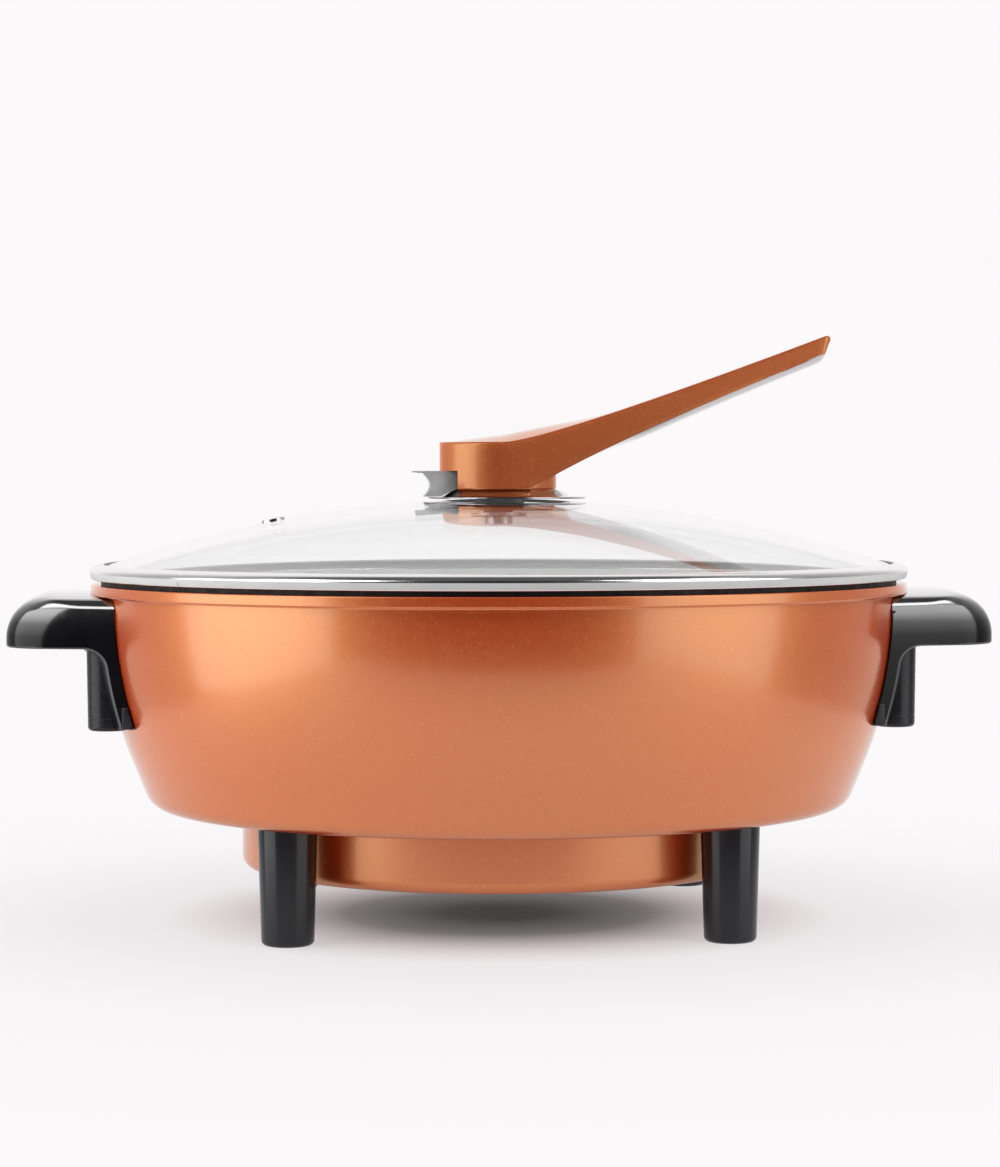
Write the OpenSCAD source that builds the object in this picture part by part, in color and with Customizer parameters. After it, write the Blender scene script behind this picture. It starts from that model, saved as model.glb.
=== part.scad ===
// Electric skillet: a deep round pan on four legs, with a glass lid that lifts off.
// Millimetres. The origin lies on the table under the pan's axis and +Z points up.
// The side handles lie along X, the power socket faces +Y and the lid's lever points to +X.

/* [Pan] */
// Outer radius of the pan's lip
lip_r = 159.6; // [156:0.1:164]
// Height of the pan's rim above the table
rim_z = 130.8; // [128:0.1:136]
// Height of the lip, from the rim down to the plain wall
lip_h = 4.7; // [4.5:0.1:6]
// Radius of the lip's upper edge
lip_edge = 0.8; // [0.4:0.1:1]
// Radius of the lip's lower edge
lip_round = 2.2; // [1.5:0.1:2.4]
// Radius of the hollow between the lip and the wall
lip_hollow = 1.3; // [0.8:0.1:1.4]
// Radius of the wall's curve, seen in section
wall_curve_r = 170.6; // [160:0.2:180]
// Slope of the lower wall away from upright, in degrees
wall_slope = 22; // [20:0.5:24]
// Thickness of the pan's wall
pan_wall = 3.5; // [3:0.1:4.5]
// Thickness of the pan's floor
pan_floor = 5; // [4:0.1:6]
// Radius of the rounding between the wall and the underside
corner_r = 8.7; // [7:0.1:10]
// Radius of the rounding inside the pan
inside_corner_r = 14; // [10:0.5:18]

/* [Legs] */
// Height of the legs, from the table to the pan's underside
leg_h = 43.75; // [42:0.05:48]
// Distance of the ring of legs from the base cup's side
leg_ring_r = 14.7; // [13:0.1:16]
// Radius of a leg at its top
leg_top_r = 11; // [10:0.1:12]
// Radius of a leg at its foot
leg_foot_r = 9.8; // [9:0.1:10.8]
// Radius of the rounding at the foot
leg_foot_round = 2; // [1:0.1:3]
// Radius of the boss under the pan that locates a leg
leg_boss_r = 5; // [4.5:0.1:6]
// Height of that boss
leg_boss_h = 9; // [6:0.5:12]
// Height of the seat of the screw's head inside a leg
leg_seat_z = 18; // [12:0.5:24]

/* [Base] */
// Outer radius of the base cup
base_r = 101; // [100:0.1:103]
// Height of the base cup
base_h = 23.75; // [23.2:0.05:25]
// Radius of the rounding at the cup's bottom edge
base_round = 4.5; // [3:0.5:7]
// Thickness of the cup's sheet
base_sheet = 1.2; // [0.8:0.1:1.5]
// Width of the flat ring between the cup's rounding and its recess
recess_margin = 15.9; // [13.9:0.1:17.9]
// Width of the ledge that the bottom cover bears on
cover_ledge = 8.6; // [6.6:0.1:14.6]
// Thickness of the bottom cover
cover_sheet = 1.2; // [0.8:0.1:1.5]
// Length of a vent slot in the cover
vent_slot = 18; // [10:1:22]
// Width of a vent slot in the cover
vent_slot_w = 3; // [2:0.5:4]
// Number of vent slots
vent_slots = 12; // [6:1:16]

/* [Heater] */
// Gap between the cup's side and the heater plate
heater_margin = 4.8; // [2.8:0.1:6.8]
// Thickness of the heater plate
heater_t = 5; // [4:0.1:5.5]
// Radius of the heating element's tube
element_r = 3.5; // [3.2:0.1:3.8]
// Distance of the element's large turn from the heater plate's edge
element_margin = 23; // [21:0.5:25]
// Radius of the element's two outward bends
element_bend_r = 14; // [12:0.5:15]
// Distance of each of the socket's pins from its middle
pin_offset = 14; // [13:0.5:16]
// Radius of a pin
pin_r = 2.4; // [2:0.1:2.8]
// Length of a pin that stands free in the socket
pin_free = 14; // [10:0.5:16]
// Outer radius of the probe tube
probe_r = 3.5; // [3.2:0.1:3.8]
// Wall of the probe tube
probe_wall = 0.6; // [0.4:0.1:0.8]
// Distance of the probe tube's closed end from the pan's axis
probe_end = 14; // [8:1:30]
// Distance of the posts from the element's large turn
post_margin = 22; // [18:0.5:24]
// Radius of a post
post_r = 5; // [4.5:0.1:5.5]
// Wall of the sleeves on the posts
sleeve_wall = 2; // [1.5:0.1:2.5]
// Gap between the cup's side and the heat reflector
reflector_margin = 6.8; // [5.8:0.1:11.8]
// Thickness of the heat reflector
reflector_sheet = 0.8; // [0.5:0.1:1.2]
// Height of the reflector above the bottom cover
reflector_lift = 6; // [4.6:0.1:7.4]

/* [Socket] */
// Width of the socket's shroud
inlet_w = 56; // [54:0.5:60]
// Height of the socket's shroud
inlet_h = 16.4; // [15:0.1:16.8]
// Reach of the shroud beyond the base cup
inlet_reach = 22; // [18:0.5:26]
// Wall of the shroud
inlet_wall = 2.2; // [1.8:0.1:2.6]
// Radius of the shroud's corners
inlet_corner = 5; // [3:0.5:6]
// Thickness of the socket's inner wall beyond the base cup
inlet_back = 2; // [1.5:0.1:4]
// Width of the socket's flange
inlet_flange_w = 76; // [74:1:82]
// Thickness of the earth strip
earth_sheet = 0.8; // [0.5:0.1:1]

/* [Side handles] */
// How far a handle's end reaches beyond the pan's lip
handle_reach = 30.1; // [21.4:0.1:38.4]
// Width of a handle
handle_w = 108; // [96:1:116]
// Drop from the pan's rim to a handle's top
handle_drop = 2.8; // [2.4:0.1:5]
// Height of the grip
grip_h = 20.5; // [18:0.5:24]
// Height of a whole handle
handle_h = 50.7; // [46:0.1:54]
// Thickness of the plate that hugs the pan's wall
handle_plate = 5; // [4.2:0.1:6]
// Radius of the hollow between plate and grip
handle_hollow_r = 8; // [6:0.5:10]
// Radius of the grip's upper outer end
handle_end_r = 16; // [10:0.5:17]
// Radius of the grip's corners, seen from above
handle_corner_r = 16.5; // [12:0.5:22]
// Angle by which a handle's end faces lean together towards its outer end
handle_taper = 15; // [10:1:17]
// Radius of the grip's upper side edges
handle_edge_r = 6; // [4:0.5:7]
// Crown of the grip's top
handle_crown = 1.6; // [0.8:0.1:2.5]
// Radius of the two screw towers behind the grip
tower_r = 8; // [7.5:0.1:9]
// Distance of a tower's axis in from the pan's lip
tower_x = 4.1; // [2.6:0.1:4.6]
// Distance of a tower's axis in from the handle's end face
tower_inset = 15; // [13:0.5:22]
// How far a tower reaches below the plate
tower_drop = 1.2; // [0.6:0.1:4]
// Length of each lug that a handle sits on, from the middle of the wall
lug_length = 12; // [11:0.5:15]
// Width of such a lug
lug_w = 13; // [11:0.5:15]
// Height of such a lug
lug_h = 8; // [6:0.5:9]

/* [Lid] */
// How far the lid's rim stands out beyond the pan's lip
rim_overhang = 0.4; // [0.2:0.1:2]
// Height of the lid's steel rim
lid_rim_h = 5.8; // [5.4:0.1:7]
// Sheet of the lid's steel rim
lid_rim_sheet = 0.7; // [0.5:0.1:0.8]
// Width of the rim's upper lip over the glass
lid_rim_lip = 5.5; // [5:0.1:7]
// Height of the seal between the pan's rim and the lid
seal_h = 1.9; // [1.5:0.1:3]
// Width of the seal
seal_w = 5.3; // [4.5:0.1:6]
// Depth of the seal's skirt inside the pan
seal_skirt = 4.3; // [3:0.1:6]
// Radius of the glass's outer curve
glass_curve_r = 470; // [440:5:520]
// Thickness of the glass
glass_t = 4; // [3.6:0.1:4.4]
// Distance of the steam vent from the lid's axis
vent_offset = 88.5; // [70:0.5:110]
// Radius of the steam vent's flange
vent_flange_r = 4.75; // [4.4:0.05:6]
// Radius of the steam vent's hole
vent_hole_r = 2; // [1.5:0.1:2.4]

/* [Lid handle] */
// Radius of the domed washer
washer_r = 31.2; // [30:0.1:34]
// Offset of the domed washer from the lid's axis
washer_offset = 3.4; // [0:0.1:4]
// Height of the domed washer
washer_h = 3.8; // [3.4:0.1:5]
// Sheet of the domed washer
washer_sheet = 0.6; // [0.4:0.1:0.8]
// Radius of the knob
knob_r = 23.2; // [22:0.1:26]
// Height of the knob at its edge
knob_h = 19.5; // [18:0.5:24]
// Rise of the lever's tip above the knob's edge
lever_rise = 41.1; // [30:0.1:50]
// Reach of the lever's tip from the lid's axis
lever_reach = 130; // [115:0.5:145]
// Width of the lever at its tip
lever_tip_w = 26; // [20:0.5:34]
// Thickness of the lever's edge at its tip
lever_tip_t = 7.7; // [6:0.1:10]
// Crown of the knob's top at its middle
knob_crown = 5.8; // [3:0.1:8]
// Belly of the lever's underside
lever_belly = 3.6; // [2:0.1:5]
// Depth of the notch that takes the clip
notch_depth = 6.5; // [4:0.1:8]
// Height of the notch
notch_h = 7.2; // [6:0.1:9]
// Length of the clip's upper lip from the notch
clip_length = 17.3; // [15:0.1:20]
// Width of the clip
clip_w = 22; // [16:0.5:28]
// Sheet of the clip's lip
clip_sheet = 0.8; // [0.6:0.1:1.2]

/* [Fasteners] */
// Radius of the screws that hold legs, handles and cover
screw_r = 2; // [1.8:0.1:2.2]
// Radius of their heads
screw_head_r = 3.4; // [3.2:0.1:3.6]
// Height of their heads
screw_head_h = 2.2; // [1.8:0.1:2.6]
// Radius of the small screws at the socket and the earth strip
small_screw_r = 1.5; // [1.3:0.1:1.7]
// Radius of the lid's screw
lid_screw_r = 2.5; // [2.2:0.1:3]
// Radius of the lid screw's head
lid_screw_head_r = 5.5; // [5:0.1:6]

/* [Hidden] */
$fn = 96;

// Colours
copper = [0.79, 0.46, 0.28];
black = [0.12, 0.12, 0.14];
steel = [0.78, 0.78, 0.8];
aluminium = [0.68, 0.69, 0.7];
ceramic = [0.92, 0.9, 0.84];
brass = [0.78, 0.62, 0.3];
silicone = [0.75, 0.76, 0.75];
clear_glass = [0.85, 0.93, 0.92, 0.4];

// Clearances
seat_gap = 0.3;
screw_gap = 0.15;
braze_gap = 0.2;
overlap = 1;

// Pan
wall_top_r = lip_r - lip_round - lip_hollow;
wall_top_z = rim_z - lip_h;
wall_centre = [wall_top_r - wall_curve_r, wall_top_z];
inside_r = wall_top_r - pan_wall;
hollow_end = 165;
floor_top_z = leg_h + pan_floor;
leg_angles = [45, 135, 225, 315];
leg_at_r = base_r + leg_ring_r;
leg_screw_top_z = leg_h + pan_floor / 3;

// Base and heater, from the bottom up
base_z = leg_h - base_h;
cover_top_z = base_z + cover_sheet;
reflector_z = cover_top_z + reflector_lift;
heater_z = leg_h - heater_t;
pin_z = heater_z - braze_gap - element_r;
probe_z = heater_z - braze_gap - probe_r;
base_inside_r = base_r - base_sheet;
recess_r = base_r - base_round - recess_margin;
cover_r = recess_r - seat_gap;
base_opening_r = recess_r - cover_ledge;
heater_r = base_inside_r - heater_margin;
reflector_r = base_inside_r - reflector_margin;
element_ring_r = heater_r - element_margin;
post_ring_r = element_ring_r - post_margin;
post_angles = [45, 135, 225, 315];
cover_screw_length = 15;

// Element: the bends touch the large turn on the outside and end in two straight legs
bend_x = pin_offset + element_bend_r;
bend_y = sqrt(pow(element_ring_r + element_bend_r, 2) - pow(bend_x, 2));
bend_angle = atan2(bend_y, bend_x);
element_draw = 0.1;
element_lap = 1;
bead_length = 3;
inlet_inner_y = sqrt(pow(base_inside_r, 2) - pow(inlet_w / 2, 2));
element_end_y = inlet_inner_y - bead_length;
bead_r = element_r;
pin_root_r = pin_r - 0.2;
pin_nose = 0.8;

// Socket
inlet_floor_y = base_r + inlet_back;
inlet_face_y = base_r + inlet_reach;
inlet_z = pin_z - inlet_h / 2;
pin_root = inlet_floor_y - element_end_y;
inlet_cavity_w = inlet_w - 2 * inlet_wall;
inlet_cavity_h = inlet_h - 2 * inlet_wall;
inlet_screw_x = (inlet_w + inlet_flange_w) / 4;
inlet_flange_y = base_r + inlet_back;
inlet_screw_end_y = sqrt(pow(base_inside_r, 2) - pow(inlet_screw_x, 2)) - 4;
earth_x = inlet_cavity_w / 2 - seat_gap - earth_sheet;
earth_h = 7;
earth_tab = 11;
earth_tab_y = sqrt(pow(base_inside_r - seat_gap, 2) - pow(earth_x + earth_tab, 2)) - earth_tab;
earth_screw_at = [earth_x + earth_tab / 2, earth_tab_y + earth_tab / 2];
small_head_r = small_screw_r + 1.2;
small_head_h = 1.6;

// Side handles
handle_end_x = lip_r + handle_reach;
tower_axis_x = lip_r - tower_x;
tower_turn = asin((handle_w / 2 - tower_inset) / tower_axis_x);
tower_angles = [-tower_turn, tower_turn];
handle_angles = [-tower_turn, tower_turn, 180 - tower_turn, 180 + tower_turn];
handle_top_z = rim_z - handle_drop;
grip_z = handle_top_z - grip_h;
handle_foot_z = handle_top_z - handle_h;
tower_foot_z = handle_foot_z - tower_drop;
plate_curve_r = wall_curve_r + seat_gap + handle_plate;
hollow_z = grip_z - handle_hollow_r;
hollow_reach = plate_curve_r + handle_hollow_r;
hollow_fall = hollow_z - wall_top_z;
hollow_centre = wall_centre + [sqrt(pow(hollow_reach, 2) - pow(hollow_fall, 2)), hollow_fall];
hollow_angle = atan2(hollow_fall, hollow_centre[0] - wall_centre[0]);
plate_foot_angle = asin((handle_foot_z - wall_top_z) / plate_curve_r);
grip_inner_x = inside_r - handle_w / 3;
lug_x = wall_top_r - pan_wall / 2;
lug_z = grip_z + 2.5;
handle_screw_x = tower_axis_x + tower_r - screw_head_r - screw_gap - 1.4;
handle_seat_z = handle_foot_z + screw_head_h;
handle_screw_length = lug_z + lug_h - handle_seat_z - 1;

// Lid, from the rim up
lid_r = lip_r + rim_overhang;
lid_z = rim_z + seal_h;
lid_rim_top_z = lid_z + lid_rim_h;
lid_lip_r = lid_r - lid_rim_lip;
glass_gap = 0.4;
glass_edge_r = lid_r - lid_rim_sheet - 1.5;
glass_edge_z = lid_z + lid_rim_sheet;
glass_lip_z = lid_rim_top_z - lid_rim_sheet - glass_gap;
glass_centre_z = glass_lip_z - sqrt(pow(glass_curve_r, 2) - pow(lid_lip_r, 2));
glass_top_z = glass_centre_z + glass_curve_r;
glass_under_z = glass_top_z - glass_t;
seal_skirt_r = inside_r - 0.6;
seal_inner_r = seal_skirt_r - 1.8;
vent_tilt = asin(vent_offset / glass_curve_r);
vent_wall = 1.1;
vent_flange_t = 0.8;
vent_seat = 0.05;
centre_hole_r = lid_screw_r + 3.5;

// Lid handle, from the glass up
knob_z = glass_top_z + washer_h;
knob_edge_z = knob_z + knob_h;
gasket_flange = 1.2;
gasket_seat = 0.05;
gasket_flange_r = centre_hole_r + 4;
gasket_sag = pow(gasket_flange_r, 2) / (2 * (glass_curve_r - glass_t)) + gasket_seat;
under_washer_t = 1.4;
under_washer_z = glass_under_z - gasket_sag - gasket_flange - under_washer_t;
lid_screw_head_h = 3.2;
lid_screw_depth = 14;
notch_x = notch_depth - knob_r;
notch_z = knob_z + notch_h;

// Points on an arc about c, in the given number of steps
function arc(c, r, from, to, steps = 8) = [
    for (i = [0 : steps])
        c + r * [cos(from + (to - from) * i / steps), sin(from + (to - from) * i / steps)]
];

function reversed(points) = [for (i = [len(points) - 1 : -1 : 0]) points[i]];

function shifted(points, by) = [for (p = points) p + by];

// Corner points of a rounded rectangle about the origin
function rounded_rect(w, h, r) = concat(
    arc([w / 2 - r, h / 2 - r], r, 0, 90),
    arc([r - w / 2, h / 2 - r], r, 90, 180),
    arc([r - w / 2, r - h / 2], r, 180, 270),
    arc([w / 2 - r, r - h / 2], r, 270, 360)
);

// The pan's wall in section: a curve, a straight slope and a rounding that ends on a flat floor
function wall_line(curve_r, floor_z, round_r) =
    let (
        slope_end = wall_centre + curve_r * [cos(wall_slope), -sin(wall_slope)],
        round_top_z = floor_z + round_r * (1 - sin(wall_slope)),
        round_top_r = slope_end[0] - (slope_end[1] - round_top_z) * tan(wall_slope),
        round_centre = [round_top_r - round_r * cos(wall_slope), floor_z + round_r]
    )
    concat(
        arc(wall_centre, curve_r, 0, -wall_slope, 12),
        arc(round_centre, round_r, -wall_slope, -90)
    );

lip_line = concat(
    arc([lip_r - lip_edge, rim_z - lip_edge], lip_edge, 90, 0, 4),
    arc([lip_r - lip_round, wall_top_z + lip_hollow + lip_round], lip_round, 0, -90, 5),
    arc([wall_top_r + lip_hollow, wall_top_z], lip_hollow, 90, hollow_end, 4)
);
outside_line = concat(lip_line, wall_line(wall_curve_r, leg_h, corner_r));
inside_line = wall_line(wall_curve_r - pan_wall, floor_top_z, inside_corner_r);

// Everything inside the pan's outer surface, grown outwards by a gap
module pan_envelope(gap) {
    rotate_extrude()
        polygon(concat([[0, rim_z + overlap]], [[lip_r - lip_edge + gap, rim_z + overlap]],
                       shifted(outside_line, [gap, 0]), [[0, leg_h]]));
}

// A screw along +Z with its head below the origin and a cross recess in the head
module screw(r, length, head_r, head_h) {
    difference() {
        union() {
            translate([0, 0, -head_h]) cylinder(r = head_r, h = head_h);
            cylinder(r = r, h = length);
        }
        for (turn = [0, 90])
            rotate([0, 0, turn])
                translate([-head_r * 0.6, -0.4, -head_h - 0.1])
                    cube([head_r * 1.2, 0.8, head_h / 2]);
    }
}

module at_ring(r, angles) {
    for (a = angles)
        rotate([0, 0, a]) translate([r, 0, 0]) children();
}

module pan() {
    color(copper) difference() {
        union() {
            rotate_extrude()
                polygon(concat([[inside_r, rim_z]], outside_line, [[0, leg_h], [0, floor_top_z]],
                               reversed(inside_line)));
            at_ring(leg_at_r, leg_angles)
                translate([0, 0, leg_h - leg_boss_h]) cylinder(r = leg_boss_r, h = leg_boss_h + overlap);
            at_ring(post_ring_r, post_angles)
                translate([0, 0, cover_top_z]) cylinder(r = post_r, h = leg_h - cover_top_z + overlap);
            at_ring(lug_x, handle_angles)
                translate([0, -lug_w / 2, lug_z]) cube([lug_length, lug_w, lug_h]);
        }
        at_ring(leg_at_r, leg_angles)
            translate([0, 0, leg_h - leg_boss_h - overlap])
                cylinder(r = screw_r + screw_gap, h = leg_screw_top_z - leg_h + leg_boss_h + 2 * overlap);
        at_ring(post_ring_r, post_angles)
            translate([0, 0, cover_top_z - overlap])
                cylinder(r = screw_r + screw_gap, h = cover_screw_length + overlap);
        at_ring(handle_screw_x, handle_angles)
            translate([0, 0, lug_z - overlap]) cylinder(r = screw_r + screw_gap, h = lug_h + 2 * overlap);
    }
}

module heater_plate() {
    color(aluminium) difference() {
        translate([0, 0, heater_z]) cylinder(r = heater_r, h = heater_t);
        at_ring(post_ring_r, post_angles)
            translate([0, 0, heater_z - overlap])
                cylinder(r = post_r + seat_gap, h = heater_t + 2 * overlap);
        translate([earth_screw_at[0], earth_screw_at[1], heater_z - overlap])
            cylinder(r = small_screw_r + screw_gap, h = heater_t / 2 + 2 * overlap);
    }
}

// One half of the element's outward end: a bend and a straight leg, each drawn down a little
module element_end() {
    bend_tube_r = element_r - element_draw;
    leg_tube_r = bend_tube_r - element_draw;
    translate([bend_x, bend_y, 0])
        rotate([0, 0, 180])
            rotate_extrude(angle = bend_angle + asin(element_lap / element_bend_r))
                translate([element_bend_r, 0]) circle(r = bend_tube_r);
    translate([pin_offset, bend_y - element_lap, 0])
        rotate([-90, 0, 0]) cylinder(r = leg_tube_r, h = element_end_y - bend_y + element_lap);
}

module heating_element() {
    color([0.4, 0.39, 0.38]) translate([0, 0, pin_z]) {
        rotate([0, 0, 180 - bend_angle])
            rotate_extrude(angle = 180 + 2 * bend_angle)
                translate([element_ring_r, 0]) circle(r = element_r);
        element_end();
        mirror([1, 0, 0]) element_end();
    }
}

module terminal_beads() {
    color(ceramic)
        for (side = [-1, 1])
            translate([side * pin_offset, element_end_y, pin_z]) rotate([-90, 0, 0]) difference() {
                cylinder(r = bead_r, h = bead_length);
                translate([0, 0, -overlap]) cylinder(r = pin_r + screw_gap, h = bead_length + 2 * overlap);
            }
}

module pin(side) {
    color(brass)
        translate([side * pin_offset, element_end_y, pin_z]) rotate([-90, 0, 0])
            rotate_extrude()
                polygon([
                    [0, 0], [pin_root_r, 0], [pin_root_r, pin_root], [pin_r, pin_root],
                    [pin_r, pin_root + pin_free - pin_nose], [pin_r - pin_nose, pin_root + pin_free],
                    [0, pin_root + pin_free]
                ]);
}

module line_pin() {
    pin(-1);
}

module neutral_pin() {
    pin(1);
}

module probe_tube() {
    color(steel) translate([0, 0, probe_z]) rotate([-90, 0, 0]) difference() {
        translate([0, 0, probe_end]) cylinder(r = probe_r, h = inlet_floor_y - probe_end);
        translate([0, 0, probe_end + probe_wall])
            cylinder(r = probe_r - probe_wall, h = inlet_floor_y - probe_end);
    }
}

module earth_contact() {
    tab_z = heater_z - earth_sheet;
    color(brass) difference() {
        union() {
            translate([earth_x, earth_tab_y, heater_z - earth_h])
                cube([earth_sheet, inlet_floor_y + pin_free - earth_tab_y, earth_h]);
            translate([earth_x, earth_tab_y, tab_z]) cube([earth_tab, earth_tab, earth_sheet]);
        }
        translate([earth_screw_at[0], earth_screw_at[1], tab_z - overlap])
            cylinder(r = small_screw_r + screw_gap, h = earth_sheet + 2 * overlap);
    }
}

module earth_screw() {
    color(steel)
        translate([earth_screw_at[0], earth_screw_at[1], heater_z - earth_sheet])
            screw(small_screw_r, earth_sheet + heater_t / 2, small_head_r, small_head_h);
}

module heat_reflector() {
    color(aluminium) difference() {
        translate([0, 0, reflector_z]) cylinder(r = reflector_r, h = reflector_sheet);
        at_ring(post_ring_r, post_angles)
            translate([0, 0, reflector_z - overlap])
                cylinder(r = post_r + seat_gap, h = reflector_sheet + 2 * overlap);
    }
}

module sleeve(z0, z1) {
    difference() {
        translate([0, 0, z0]) cylinder(r = post_r + seat_gap + sleeve_wall, h = z1 - z0);
        translate([0, 0, z0 - overlap]) cylinder(r = post_r + seat_gap, h = z1 - z0 + 2 * overlap);
    }
}

module spacer_sleeves() {
    color(steel) at_ring(post_ring_r, post_angles) {
        sleeve(cover_top_z, reflector_z);
        sleeve(reflector_z + reflector_sheet, heater_z);
    }
}

module base_housing() {
    round_centre = [base_r - base_round, base_z + base_round];
    step_r = recess_r + base_sheet;
    color(copper) difference() {
        rotate_extrude()
            polygon(concat(
                [[base_r, leg_h]], arc(round_centre, base_round, 0, -90, 12),
                [[recess_r, base_z], [recess_r, cover_top_z], [base_opening_r, cover_top_z]],
                [[base_opening_r, cover_top_z + base_sheet], [step_r, cover_top_z + base_sheet]],
                [[step_r, base_z + base_sheet]],
                arc(round_centre, base_round - base_sheet, -90, 0, 12), [[base_inside_r, leg_h]]
            ));
        translate([-inlet_w / 2 - seat_gap, 0, inlet_z - seat_gap])
            cube([inlet_w + 2 * seat_gap, base_r + overlap, leg_h]);
        for (side = [-1, 1])
            translate([side * inlet_screw_x, 0, pin_z])
                rotate([-90, 0, 0]) cylinder(r = small_screw_r + screw_gap, h = base_r + overlap);
    }
}

module bottom_cover() {
    slot_r = base_opening_r / 4;
    color(steel) difference() {
        translate([0, 0, base_z]) cylinder(r = cover_r, h = cover_sheet);
        at_ring(post_ring_r, post_angles)
            translate([0, 0, base_z - overlap])
                cylinder(r = screw_r + screw_gap, h = cover_sheet + 2 * overlap);
        for (i = [0 : vent_slots - 1])
            rotate([0, 0, i * 360 / vent_slots])
                translate([slot_r, -vent_slot_w / 2, base_z - overlap])
                    cube([vent_slot, vent_slot_w, cover_sheet + 2 * overlap]);
    }
}

module cover_screws() {
    color(steel) at_ring(post_ring_r, post_angles)
        translate([0, 0, base_z]) screw(screw_r, cover_screw_length, screw_head_r, screw_head_h);
}

module inlet_housing() {
    color(black) difference() {
        union() {
            translate([0, inlet_face_y, pin_z]) rotate([90, 0, 0])
                linear_extrude(inlet_face_y - inlet_inner_y)
                    polygon(rounded_rect(inlet_w, inlet_h, inlet_corner));
            difference() {
                translate([0, inlet_flange_y, pin_z]) rotate([90, 0, 0])
                    linear_extrude(inlet_flange_y - inlet_inner_y + inlet_flange_w / 4)
                        polygon(rounded_rect(inlet_flange_w, inlet_h, inlet_corner));
                cylinder(r = base_r + braze_gap, h = rim_z);
            }
        }
        translate([0, inlet_face_y + overlap, pin_z]) rotate([90, 0, 0])
            linear_extrude(inlet_reach - inlet_back + overlap)
                polygon(rounded_rect(inlet_cavity_w, inlet_cavity_h, inlet_corner - inlet_wall));
        for (side = [-1, 1]) {
            translate([side * pin_offset, 0, pin_z])
                rotate([-90, 0, 0]) cylinder(r = pin_r + screw_gap, h = inlet_face_y);
            translate([side * inlet_screw_x, 0, pin_z])
                rotate([-90, 0, 0]) cylinder(r = small_screw_r + screw_gap, h = inlet_face_y);
        }
        translate([0, 0, probe_z]) rotate([-90, 0, 0]) cylinder(r = probe_r + screw_gap, h = inlet_face_y);
        translate([earth_x - seat_gap, 0, heater_z - earth_h - seat_gap])
            cube([earth_sheet + 2 * seat_gap, inlet_face_y, earth_h + 2 * seat_gap]);
    }
}

module inlet_screws() {
    color(steel)
        for (side = [-1, 1])
            translate([side * inlet_screw_x, inlet_flange_y, pin_z]) rotate([90, 0, 0])
                screw(small_screw_r, inlet_flange_y - inlet_screw_end_y, small_head_r, small_head_h);
}

module leg(angle) {
    bore_r = screw_r + screw_gap;
    socket_r = leg_boss_r + seat_gap;
    socket_z = leg_h - leg_boss_h - seat_gap;
    recess = screw_head_r + seat_gap;
    foot_centre = [leg_foot_r - leg_foot_round, leg_foot_round];
    color(black) rotate([0, 0, angle]) translate([leg_at_r, 0, 0])
        rotate_extrude()
            polygon(concat(
                [[recess, 0]], arc(foot_centre, leg_foot_round, -90, 0, 6), [[leg_top_r, leg_h]],
                [[socket_r, leg_h], [socket_r, socket_z], [bore_r, socket_z], [bore_r, leg_seat_z]],
                [[recess, leg_seat_z]]
            ));
}

module leg_front_left() {
    leg(225);
}

module leg_front_right() {
    leg(315);
}

module leg_rear_left() {
    leg(135);
}

module leg_rear_right() {
    leg(45);
}

module leg_screws() {
    color(steel) at_ring(leg_at_r, leg_angles)
        translate([0, 0, leg_seat_z])
            screw(screw_r, leg_screw_top_z - leg_seat_z, screw_head_r, screw_head_h);
}

// Section of a handle about the pan's axis: the plate, the hollow and the grip's flat underside
handle_section = concat(
    [[grip_inner_x, handle_top_z], [grip_inner_x, handle_foot_z]],
    arc(wall_centre, plate_curve_r, plate_foot_angle, hollow_angle, 6),
    arc(hollow_centre, handle_hollow_r, hollow_angle + 180, 90, 8),
    [[handle_end_x + handle_w, grip_z], [handle_end_x + handle_w, handle_top_z]]
);

// A handle's outline from above, from the side and from its end
taper_x = sqrt(pow(wall_top_r, 2) - pow(handle_w / 2, 2));
taper_y = handle_w / 2 + (taper_x - grip_inner_x) * tan(handle_taper);
corner_x = handle_end_x - handle_corner_r;
corner_y = handle_w / 2 - ((corner_x - taper_x) * sin(handle_taper) + handle_corner_r) / cos(handle_taper);
handle_plan = concat(
    [[grip_inner_x, -taper_y]],
    arc([corner_x, -corner_y], handle_corner_r, handle_taper - 90, 0, 12),
    arc([corner_x, corner_y], handle_corner_r, 0, 90 - handle_taper, 12),
    [[grip_inner_x, taper_y]]
);
handle_side = concat(
    [[grip_inner_x, handle_foot_z], [handle_end_x, handle_foot_z]],
    arc([handle_end_x - handle_end_r, handle_top_z - handle_end_r], handle_end_r, 0, 90, 12),
    [[grip_inner_x, handle_top_z]]
);
edge_y = handle_w / 2 - handle_edge_r;
edge_z = handle_top_z - handle_crown - handle_edge_r;
handle_end = concat(
    [[-handle_w / 2, handle_foot_z], [handle_w / 2, handle_foot_z]],
    arc([edge_y, edge_z], handle_edge_r, 0, 90, 6),
    [for (i = [1 : 7]) [edge_y * (1 - i / 4), handle_top_z - handle_crown * pow(1 - i / 4, 2)]],
    arc([-edge_y, edge_z], handle_edge_r, 90, 180, 6)
);

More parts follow.
